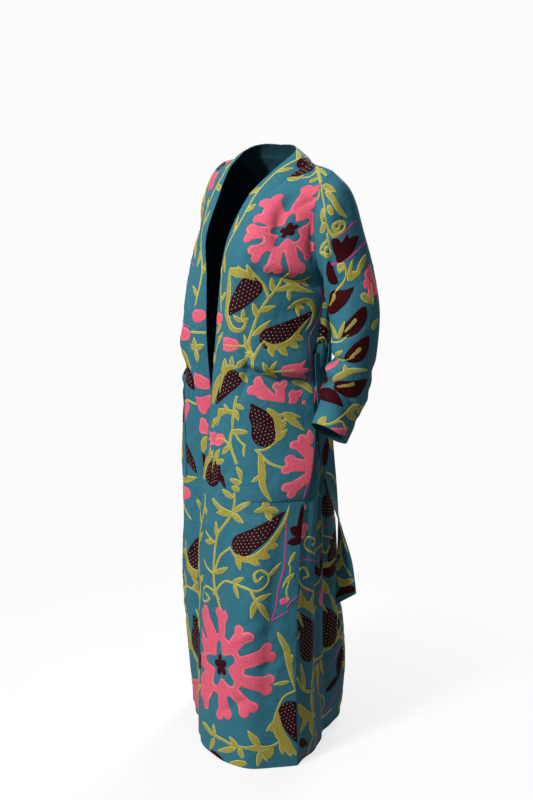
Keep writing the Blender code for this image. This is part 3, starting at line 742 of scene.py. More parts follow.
def woven_cotton(name, dyed, deep, worn):
    """Plain-woven cotton: the dye is uneven, and slubs run both ways and show paler."""
    material, tree, shader = new_material(name)
    flat = add(tree, "UVMap", uv_map="flat").outputs["UV"]
    centimetres = add(tree, "Mapping", {"Vector": flat, "Scale": (100, 100, 100)}).outputs["Vector"]
    place = add(tree, "TexCoord").outputs["Object"]
    cloud = add(tree, "TexNoise", {"Vector": place, "Scale": 7.0, "Detail": 4.0}).outputs["Fac"]
    warp = add(tree, "Mapping", {"Vector": centimetres, "Scale": (7.0, 0.35, 1.0)}).outputs["Vector"]
    weft = add(tree, "Mapping", {"Vector": centimetres, "Scale": (0.3, 6.0, 1.0)}).outputs["Vector"]
    warp_slub = add(tree, "TexNoise", {"Vector": warp, "Scale": 1.0, "Detail": 3.0}).outputs["Fac"]
    weft_slub = add(tree, "TexNoise", {"Vector": weft, "Scale": 1.0, "Detail": 3.0}).outputs["Fac"]
    slub = add(tree, "Math", {0: warp_slub, 1: weft_slub}, operation="ADD").outputs[0]
    pale = add(tree, "MapRange", {"Value": slub, "From Min": 0.75, "From Max": 1.35, "To Max": 0.55})
    # Mix has sockets for each kind of value: 0 is the factor, 6 and 7 the colours, 2 the result
    dye = add(tree, "Mix", {0: cloud, 6: deep, 7: dyed}, data_type="RGBA").outputs[2]
    colour = add(tree, "Mix", {0: pale.outputs[0], 6: dye, 7: worn}, data_type="RGBA").outputs[2]
    tree.links.new(colour, shader.inputs["Base Color"])
    crumple = add(tree, "TexNoise", {"Vector": place, "Scale": 20.0, "Detail": 3.0, "Distortion": 0.6})
    soft = add(tree, "Bump", {"Height": crumple.outputs["Fac"], "Strength": 0.55, "Distance": 0.010})
    checks = round(10 / WEAVE_MM, 1)
    weave = add(tree, "TexChecker", {"Vector": centimetres, "Scale": checks}).outputs["Fac"]
    thread = add(tree, "Math", {0: weave, 1: slub}, operation="ADD").outputs[0]
    fine = {"Height": thread, "Normal": soft.outputs["Normal"], "Strength": 0.25, "Distance": 0.0003}
    tree.links.new(add(tree, "Bump", fine).outputs["Normal"], shader.inputs["Normal"])
    shader.inputs["Roughness"].default_value = 0.72
    shader.inputs["IOR"].default_value = COTTON_IOR
    shader.inputs["Specular IOR Level"].default_value = 0.14
    shader.inputs["Sheen Weight"].default_value = 0.05
    shader.inputs["Sheen Roughness"].default_value = 0.4
    return material


teal_cotton = woven_cotton("teal_cotton_woven", "#296576", "#215664", "#3A7686")
# The belt is the same cloth, given a slightly darker copy of the teal: painted shade.
belt_cotton_painted_shade = woven_cotton("teal_cotton_belt_painted_shade", "#275F70", "#1D4D5A", "#336C7B")
# The inner faces get a much darker copy of the teal: painted shade for the inside of the coat.
cotton_reverse_painted_shade = woven_cotton("teal_cotton_reverse", "#17424F", "#102F3A", "#1F4E5B")
print("cottons ready")

# %% [markdown]
# The threads. Suzani is filled in with rows of chain stitch that follow the outline of each
# shape, so the shader needs to know how far a point lies from that outline. The mesh carries
# this as an attribute named depth. Rows are really 1.5 mm apart and are drawn at 2.4 mm. A row
# in a lighter thread runs round the edge, and here and there a pale row shows inside it.

# %% Chain stitch
# All in centimetres of depth from the outline
ROW_SPACING = 0.24
RIM_ROW, PALE_ROW, SOFT_EDGE = (0.16, 0.22), (0.26, 0.42), 0.02


def chain_stitch(name, main, shade, edge, pale=None, pale_share=0.5, dots=None, gloss=0.16):
    """Rows of chain stitch round a shape, in a soft stranded thread."""
    material, tree, shader = new_material(name)
    flat = add(tree, "UVMap", uv_map="flat").outputs["UV"]
    centimetres = add(tree, "Mapping", {"Vector": flat, "Scale": (100, 100, 100)}).outputs["Vector"]
    depth = add(tree, "Attribute", attribute_name="depth").outputs["Fac"]
    wander = add(tree, "TexNoise", {"Vector": centimetres, "Scale": 0.9, "Detail": 2.0}).outputs["Fac"]
    shaken = add(tree, "Math", {0: wander, 1: 0.16, 2: depth}, operation="MULTIPLY_ADD").outputs[0]
    turns = add(tree, "Math", {0: shaken, 1: 2 * math.pi / ROW_SPACING}, operation="MULTIPLY").outputs[0]
    row = add(tree, "Math", {0: turns}, operation="SINE").outputs[0]
    strands = {"Vector": centimetres, "Scale": 3.2, "Detail": 4.0, "Roughness": 0.7}
    strands = add(tree, "TexNoise", strands).outputs["Fac"]
    loops = add(tree, "TexVoronoi", {"Vector": centimetres, "Scale": 4.0, "Randomness": 0.9})
    # The crown of each row takes the main colour and the groove between rows the darker shade colour:
    # painted shade, broken up by the strands' noise.
    uneven = add(tree, "Math", {0: row, 1: 0.16, 2: strands}, operation="MULTIPLY_ADD").outputs[0]
    lit = add(tree, "MapRange", {"Value": uneven, "From Min": 0.3, "From Max": 0.75}).outputs[0]
    colour = add(tree, "Mix", {0: lit, 6: shade, 7: main}, data_type="RGBA").outputs[2]
    if pale:
        patch = add(tree, "TexNoise", {"Vector": centimetres, "Scale": 0.22, "Detail": 1.0}).outputs["Fac"]
        turn = 1 - pale_share
        here = add(tree, "MapRange", {"Value": patch, "From Min": turn - 0.06, "From Max": turn + 0.06})
        low, high = PALE_ROW
        rise = {"Value": depth, "From Min": low - SOFT_EDGE, "From Max": low + SOFT_EDGE}
        fall = {"Value": depth, "From Min": high + SOFT_EDGE, "From Max": high - SOFT_EDGE}
        shown = here.outputs[0]
        for side in (rise, fall):
            inside = add(tree, "MapRange", side).outputs[0]
            shown = add(tree, "Math", {0: shown, 1: inside}, operation="MULTIPLY").outputs[0]
        shown = add(tree, "Math", {0: shown, 1: 0.7}, operation="MULTIPLY").outputs[0]
        colour = add(tree, "Mix", {0: shown, 6: colour, 7: pale}, data_type="RGBA").outputs[2]
    if dots:
        spots = add(tree, "TexVoronoi", {"Vector": centimetres, "Scale": 1.5, "Randomness": 0.55})
        spot = {"Value": spots.outputs["Distance"], "From Min": 0.25, "From Max": 0.15, "To Max": 0.9}
        spot = add(tree, "MapRange", spot).outputs[0]
        inside = add(tree, "MapRange", {"Value": depth, "From Min": 0.35, "From Max": 0.45}).outputs[0]
        spot = add(tree, "Math", {0: spot, 1: inside}, operation="MULTIPLY").outputs[0]
        colour = add(tree, "Mix", {0: spot, 6: colour, 7: dots}, data_type="RGBA").outputs[2]
    low, high = RIM_ROW
    rim = add(tree, "MapRange", {"Value": depth, "From Min": high, "From Max": low, "To Max": 0.85})
    colour = add(tree, "Mix", {0: rim.outputs[0], 6: colour, 7: edge}, data_type="RGBA").outputs[2]
    tree.links.new(colour, shader.inputs["Base Color"])
    knots = {0: loops.outputs["Distance"], 1: -0.6, 2: strands}
    knots = add(tree, "Math", knots, operation="MULTIPLY_ADD").outputs[0]
    height = add(tree, "Math", {0: row, 1: 0.5, 2: knots}, operation="MULTIPLY_ADD").outputs[0]
    bump = add(tree, "Bump", {"Height": height, "Strength": 0.55, "Distance": 0.0006}).outputs["Normal"]
    tree.links.new(bump, shader.inputs["Normal"])
    shader.inputs["Roughness"].default_value = 0.62
    shader.inputs["IOR"].default_value = COTTON_IOR
    shader.inputs["Specular IOR Level"].default_value = gloss
    shader.inputs["Sheen Weight"].default_value = gloss / 5
    shader.inputs["Sheen Roughness"].default_value = 0.4
    return material


threads = {
    "pink": chain_stitch(
        "chain_stitch_coral_pink", "#DE6075", "#C44A62", "#E84F70",
        pale="#C59A86", pale_share=0.45, dots="#8C3650",
    ),
    "burgundy": chain_stitch("chain_stitch_burgundy", "#3C0A11", "#2A050A", "#32070E", gloss=0.05),
    "olive": chain_stitch(
        "chain_stitch_olive", "#A99C46", "#82762E", "#A9AA54", pale="#86A894", pale_share=0.35,
    ),
    "purple": chain_stitch("chain_stitch_purple_pink", "#A24480", "#823669", "#A24480"),
    "green": chain_stitch("chain_stitch_sea_green", "#55928B", "#427A75", "#55928B"),
}
print("threads:", sorted(threads))

# %% [markdown]
# A piece becomes a thin closed wall. Its inner face is the reverse of the cloth, in a much darker
# copy of the teal that paints in the shade inside the coat. Near a sewn edge the outer face dips, as a seam
# does where it is pressed.

# %% Cloth walls
# The visible wall is thinner than the solid's, and dips at a sewn edge
CLOTH_THIN, SEAM_DIP = 0.0011, 0.00035
SHARP_CORNER = 50
COAT_CLOTH = (teal_cotton, cotton_reverse_painted_shade)
BELT_CLOTH = (belt_cotton_painted_shade, belt_cotton_painted_shade)


def mesh_object(name, vertices, faces, material, flat, depth=None):
    """A smooth mesh with its flat places in cm as a UV map, and how deep each point lies inside."""
    mesh = bpy.data.meshes.new(name)
    mesh.from_pydata(vertices.tolist(), [], faces.tolist())
    mesh.materials.append(material)
    layer = mesh.uv_layers.new(name="flat")
    corners = np.zeros(len(mesh.loops), int)
    mesh.loops.foreach_get("vertex_index", corners)
    layer.data.foreach_set("uv", (flat[corners] / 100).astype(np.float32).ravel())
    if depth is not None:
        attribute = mesh.attributes.new("depth", "FLOAT", "POINT")
        attribute.data.foreach_set("value", depth.astype(np.float32))
    mesh.shade_smooth()
    thing = bpy.data.objects.new(name, mesh)
    bpy.context.scene.collection.objects.link(thing)
    return thing


def grid_quads(index):
    """The squares of a grid of point numbers."""
    return np.stack([index[:-1, :-1], index[1:, :-1], index[1:, 1:], index[:-1, 1:]], -1).reshape(-1, 4)


def wall(name, inner, outer, flat, cloths, closed=False):
    """A closed wall between two grids of points, with one cloth outside and one inside."""
    across, up = inner.shape[:2]
    count = across * up
    index = np.arange(count).reshape(across, up)
    if closed:
        index = np.concatenate([index, index[:1]])
    quads = grid_quads(index)
    faces = [quads + count, quads[:, ::-1]]
    rims = [(index[:, 0], 1), (index[:, -1], -1)]
    if not closed:
        rims += [(index[0], -1), (index[-1], 1)]
    for rim, way in rims:
        strip = np.stack([rim[:-1], rim[1:], rim[1:] + count, rim[:-1] + count], -1)
        faces.append(strip[:, ::way])
    faces = np.concatenate(faces)
    vertices = swayed(np.concatenate([inner.reshape(-1, 3), outer.reshape(-1, 3)]))
    thing = mesh_object(name, vertices, faces, cloths[0], np.concatenate([flat, flat]))
    thing.data.materials.append(cloths[1])
    slots = np.zeros(len(faces), int)
    slots[len(quads) : 2 * len(quads)] = 1
    thing.data.polygons.foreach_set("material_index", slots)
    thing.data.set_sharp_from_angle(angle=math.radians(SHARP_CORNER))
    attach(thing, "root")
    return thing


def flat_places(x, y):
    """The flat place of every point of a grid, in a list."""
    return np.stack([x, np.broadcast_to(y, x.shape)], -1).reshape(-1, 2)


flat_cut = {}
for name, piece in pieces.items():
    dip = np.where(piece.sewn, SEAM_DIP, 0.0)
    outer = piece.points + piece.out * (CLOTH - dip)[:, :, None]
    inner = piece.points + piece.out * (CLOTH - CLOTH_THIN - dip)[:, :, None]
    piece.face = outer
    flat = flat_places(piece.x[:-1] if piece.closed else piece.x, piece.y)
    wall("cloth_" + name, inner, outer, flat, COAT_CLOTH, piece.closed)
    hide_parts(name)
    widths = (piece.x.max(0) - piece.x.min(0)) / 100
    wide, tall = round(float(widths.max()), 3), round(float(piece.y[-1] - piece.y[0]) / 100, 3)
    area = min(float(np.trapz(widths, piece.y / 100)), 0.999 * wide * tall)
    flat_cut[name] = (wide, tall, round(area, 4))
print("flat cuts in metres and square metres:", flat_cut)

# %% [markdown]
# The pockets are patches sewn on at the top, foot and inner side. Their outer edges stand open,
# so each patch is made from the front's own points, moved out more and more towards the side
# seam. The belt and its loops lie on the back in the same way.

# %% Pockets
# A patch is thinner than its solid and lies a little inside it
PATCH_LIFT, PATCH_THINNER = 0.0004, 0.0006
POCKET_FIRST = round(0.4 * COLUMNS)


def between(grid, column, row):
    """A grid's value at a place between its points."""
    i, j = min(int(column), len(grid) - 2), min(int(row), grid.shape[1] - 2)
    u, v = column - i, row - j
    low = (1 - u) * grid[i, j] + u * grid[i + 1, j]
    return (1 - v) * low + v * ((1 - u) * grid[i, j + 1] + u * grid[i + 1, j + 1])


class Patch:
    """A piece that is sewn on: its outer face, the way out of it, and its flat places in cm."""

    def __init__(self, x, y, inner, outer):
        self.closed, self.face, self.x, self.y = False, outer, x, y
        self.out = grid_normals(outer)
        if ((outer - inner) * self.out).sum() < 0:
            self.out = -self.out


def level_index(up):
    return int(np.argmin(abs(LEVELS - up)))


patches = {}
for name, piece in (("pocket_left", front_left), ("pocket_right", pieces["front_right"])):
    left = name == "pocket_left"
    columns = range(POCKET_FIRST, COLUMNS + 1) if left else range(COLUMNS - POCKET_FIRST + 1)
    rows = slice(level_index(POCKET_BOTTOM), level_index(POCKET_TOP) + 1)
    outward, upward = np.meshgrid(
        np.linspace(0, 1, len(columns)), np.linspace(0, 1, rows.stop - rows.start), indexing="ij"
    )
    if not left:
        outward = outward[::-1]
    # The mouth droops towards the side seam, where the patch stands open
    drop = upward**2 * (0.008 + 0.026 * outward)
    heights = POCKET_BOTTOM + (POCKET_TOP - POCKET_BOTTOM) * upward - drop
    lines = np.interp(heights, LEVELS, np.arange(len(LEVELS)))

    def at_lines(grid):
        return np.array([[between(grid, i, v) for v in row] for i, row in zip(columns, lines)])

    base, out, x_flat = at_lines(piece.points), at_lines(piece.out), at_lines(piece.x)
    gape = POCKET_GAPE * outward**1.6 * np.sin(math.pi * upward**0.66).clip(0, 1) ** 1.2
    ripple = 0.0008 * np.sin(9 * upward + 2) * np.sin(math.pi * upward) * outward
    clear = CLOTH + SEAM_GAP + PATCH_LIFT + gape + ripple
    inner = base + out * clear[:, :, None]
    outer = inner + out * (CLOTH - PATCH_THINNER)
    wall("cloth_" + name, inner, outer, flat_places(x_flat, heights * 100), COAT_CLOTH)
    patches[name] = Patch(x_flat, piece.y[rows], inner, outer)
    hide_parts(name)
print("pockets reach", round(POCKET_GAPE * 1000), "mm from the cloth where they gape")

# %% Belt and loops
BELT_LIFT = 0.0003
LOOP_ACROSS, LOOP_ALONG = 7, 41
rows = slice(level_index(BELT_BOTTOM), level_index(BELT_TOP) + 1)
inner = back.points[:, rows] + back.out[:, rows] * (CLOTH + (SEAM_GAP + BELT_LIFT))
outer = inner + back.out[:, rows] * (BELT_THICK - 2 * BELT_LIFT)
flat = flat_places(back.x[:, rows], back.y[rows])
wall("cloth_belt_back", inner, outer, flat, BELT_CLOTH)
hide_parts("belt_back")

over_belt = SEAM_GAP + BELT_THICK + SEAM_GAP
# The loops' columns are counted on the solids' grid of 10 to a panel
fine = COLUMNS / 10
for name, side in (("belt_loop_left", 1), ("belt_loop_right", -1)):
    spots = np.linspace(LOOP_COLUMNS[0], LOOP_COLUMNS[-1], LOOP_ACROSS) * fine
    if side < 0:
        spots = len(back.points) - 1 - spots[::-1]
    inner, outer, flat = [], [], []
    for column in spots:
        for up in np.linspace(LOOP_ROWS[0][0], LOOP_ROWS[-1][0], LOOP_ALONG):
            share = np.interp(up, [r[0] for r in LOOP_ROWS], [r[1] for r in LOOP_ROWS])
            row = np.interp(up, LEVELS, range(len(LEVELS)))
            base, out = between(back.points, column, row), between(back.out, column, row)
            inner.append(base + out * (CLOTH + SEAM_GAP + over_belt * share))
            outer.append(inner[-1] + out * LOOP_THICK)
            flat.append((column, up * 100))
    inner, outer = (np.array(face).reshape(LOOP_ACROSS, LOOP_ALONG, 3) for face in (inner, outer))
    wall("cloth_" + name, inner, outer, np.array(flat), BELT_CLOTH)
    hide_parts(name)
print("a loop stands", round(over_belt * 1000, 1), "mm over the back")

# %% [markdown]
# The belt's ends hang free from their loops, turn as they fall, and rest against the side of the
# coat. A strip that follows a path fits this: each place on the path has a width and a direction
# for it. The other end is the same strip turned over.

# %% Belt ends
# Metres: how far the wall lies inside the solid, how much the foot slants, how much it cups
BELT_ROWS, BELT_ACROSS = 130, 11
BELT_END_INSET, BELT_FOOT_SLANT, BELT_CUP = 0.0004, 0.036, 0.0012
for name, side in (("belt_end_left", 1), ("belt_end_right", -1)):
    rows_along = [(k / (len(BELT_END_PATH) - 1), *row) for k, row in enumerate(BELT_END_PATH)]
    shares = np.linspace(-0.5, 0.5, BELT_ACROSS)
    inner = np.zeros((BELT_ACROSS, BELT_ROWS + 1, 3))
    outer = np.zeros_like(inner)
    for k in range(BELT_ROWS + 1):
        down = k / BELT_ROWS
        x, y, z, turn, width = smooth_through(rows_along, down)
        tilt = -BELT_FOOT_SLANT * shares * soft_step(0.9, 1.0, down)
        cup = BELT_CUP * math.sin(9 * down) * np.cos(math.pi * shares)
        middle = np.array([x, y, z]) + turned(turn) * (width * shares)[:, None]
        middle = middle + np.array([0, 0, 1]) * tilt[:, None] + turned(turn - 90) * cup[:, None]
        inner[:, BELT_ROWS - k] = middle + turned(turn - 90) * BELT_END_INSET
        outer[:, BELT_ROWS - k] = middle + turned(turn - 90) * (BELT_THICK - BELT_END_INSET)
    if side < 0:
        inner, outer = inner[::-1] * FLIP, outer[::-1] * FLIP
    steps = np.linalg.norm(np.diff(outer[BELT_ACROSS // 2], axis=0), axis=1)
    length = np.concatenate([[0], np.cumsum(steps)]) * 100
    x_flat = np.repeat((shares * 5)[:, None], BELT_ROWS + 1, axis=1)
    wall("cloth_" + name, inner, outer, flat_places(x_flat, length), BELT_CLOTH)
    patches[name] = Patch(x_flat, length, inner, outer)
    patches[name + "_reverse"] = Patch(x_flat, length, outer, inner)
    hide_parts(name)
    tall = round(float(length[-1]) / 100, 3)
print("patches to embroider:", sorted(patches))

# %% [markdown]
# Embroidery. On the real coat every motif is drawn on the cloth with a pen and then filled with
# thread, which raises it by about a millimetre. Here a motif is a few strokes, each a smooth
# line with a width that changes along it. The strokes make a field: the distance from each point
# of a flat grid to the nearest stroke's edge, negative inside. Triangles cut along the line
# where the field is nought give a clean outline, and the field itself gives the padding.

# %% Strokes
# Half the breadth of an almond-shaped fruit, for a layout width of 1
FRUIT = 0.58


def smooth_line(points, steps=6):
    """A line through the given points, rounded where there are three or more."""
    p = np.array(points, float)
    if len(p) == 2:
        return p[0] + np.linspace(0, 1, steps + 1)[:, None] * (p[1] - p[0])
    q = np.concatenate([2 * p[:1] - p[1:2], p, 2 * p[-1:] - p[-2:-1]])
    t = np.linspace(0, 1, steps, endpoint=False)[:, None]
    parts = []
    for a, b, c, d in zip(q, q[1:], q[2:], q[3:]):
        square, cube = 2 * a - 5 * b + 4 * c - d, 3 * b - 3 * c + d - a
        parts.append(0.5 * (2 * b + (c - a) * t + square * t**2 + cube * t**3))
    return np.concatenate(parts + [p[-1:]])


def stroke(points, radius):
    """A smooth line and its half width, a function of the share of its length."""
    line = smooth_line(points)
    run = np.concatenate([[0], np.cumsum(np.linalg.norm(np.diff(line, axis=0), axis=1))])
    return line, radius(run / max(run[-1], 1e-6)) + 0 * run


def leaf_stroke(wide, points):
    return stroke(points, lambda t: 0.5 * wide * np.sin(np.pi * t**0.72).clip(0) ** 0.85 * 0.94 + 0.07)


def fruit_stroke(wide, points):
    return stroke(points, lambda t: FRUIT * wide * (1 - t**1.3) ** 0.85 + 0.06)


def turned_by(way, degrees):
    c, s = math.cos(math.radians(degrees)), math.sin(math.radians(degrees))
    return np.array([c * way[0] - s * way[1], s * way[0] + c * way[1]])


def petal_strokes(wide, base, tip):
    """A petal with a narrow neck that forks into two round lobes."""
    way = tip - base
    fork = base + 0.60 * way
    wobble = 5 * math.sin(3.1 * tip[0] + 1.7 * tip[1])
    length = float(np.linalg.norm(way))
    reach = min(0.30 * wide, 0.30 * length)
    strokes = [stroke((base, fork, tip - way / length * 0.62 * wide), lambda t: wide * (0.33 + 0.09 * t))]
    for turn in (90 + 2 * wobble, 2 * wobble - 90):
        side = turned_by(way / length, turn) * 0.31 * wide
        end = tip - way / length * reach + side
        middle = fork + 0.5 * (end - fork) - 0.12 * side
        strokes.append(stroke((fork, middle, end), lambda t: wide * (0.32 - 0.02 * t)))
    return strokes


print("a leaf's line has", len(leaf_stroke(1.0, ((0, 0), (3, 1)))[0]), "points")

# %% Motifs
# The thread of each plain filled shape and line
LINE_THREADS = {"stem": "olive", "line": "purple"}
LEAF_THREADS = {"leaf": "olive", "dark": "burgundy", "pink": "pink"}


def motif(kind, wide, points):
    """What one motif is made of: for each thread, its strokes and the strokes cut out of them."""
    p = [np.array(point, float) for point in points]
    if kind in LINE_THREADS:
        return [(LINE_THREADS[kind], [stroke(p, lambda t: wide / 2)], [])]
    if kind in LEAF_THREADS:
        return [(LEAF_THREADS[kind], [leaf_stroke(wide, p)], [])]
    if kind == "leaves":
        return [("olive", [leaf_stroke(wide, (root, tip))], []) for root, tip in zip(p[::2], p[1::2])]
    if kind == "petal":
        return [("pink", petal_strokes(wide, p[0], p[1]), [])]
    if kind == "bud":
        way = p[1] - p[0]
        body = [stroke((p[0] + 0.22 * way, p[0] + 0.60 * way), lambda t: wide * (0.38 + 0.10 * t))]
        for turn, far in ((-17, 0.96), (0, 1.0), (17, 0.96)):
            point = p[0] + turned_by(way, turn) * far
            body.append(stroke((p[0] + 0.55 * way, point), lambda t: wide * (0.22 - 0.12 * t)))
        return [("pink", body, [])]
    if kind == "paisley":
        return [("burgundy", [fruit_stroke(wide, p)], [])]
    if kind == "calla":
        spathe = stroke(
            p, lambda t: wide / 2 * np.sin(np.pi * (0.14 + 0.86 * t) ** 0.8).clip(0) ** 0.9 + 0.08
        )
        spadix = stroke((p[0], p[0] + 0.42 * (p[-1] - p[0])), lambda t: 0.11 * wide + 0.04 * wide * t)
        return [("burgundy", [spathe], []), ("olive", [spadix], [])]
    centre, tips = p[0], p[1:]
    reach = float(np.mean([np.linalg.norm(tip - centre) for tip in tips]))
    body = [stroke((centre, centre + 0.01), lambda t: (0.53 if kind == "rosette" else 0.22) * reach)]
    for tip in tips:
        body += petal_strokes(wide, centre + 0.3 * (tip - centre), tip)
    if kind == "flower":
        return [("pink", body, [])]
    star = [stroke((centre, centre + 0.01), lambda t: 0.21 * reach)]
    heart = [stroke((centre, centre + 0.01), lambda t: 0.12 * reach)]
    for k in range(5):
        way = turned_by(np.array([0.0, reach]), 72 * k + 20)
        star.append(stroke((centre, centre + 0.33 * way), lambda t: reach * (0.14 - 0.06 * t)))
        heart.append(stroke((centre, centre + 0.13 * way), lambda t: 0.06 * reach))
    return [("pink", body, star), ("burgundy", heart, [])]


def moved(rows, across=0.0, up=0.0, flip=1, wrap=None):
    """The same motifs elsewhere: turned over by flip -1, and brought back inside by wrap."""
    result = []
    for kind, wide, *points in rows:
        middle = np.mean([y for x, y in points]) + up
        back_by = wrap * math.floor(middle / wrap) if wrap else 0.0
        result.append((kind, wide, *[(flip * x + across, y + up - back_by) for x, y in points]))
    return result


def kept(rows, test):
    """Those motifs whose middle passes the test."""
    return [row for row in rows if test(*np.mean(row[2:], axis=0))]


print("a flower is worked in", [part[0] for part in motif("rosette", 1, [(0, 0), (0, 3), (3, 0)])])
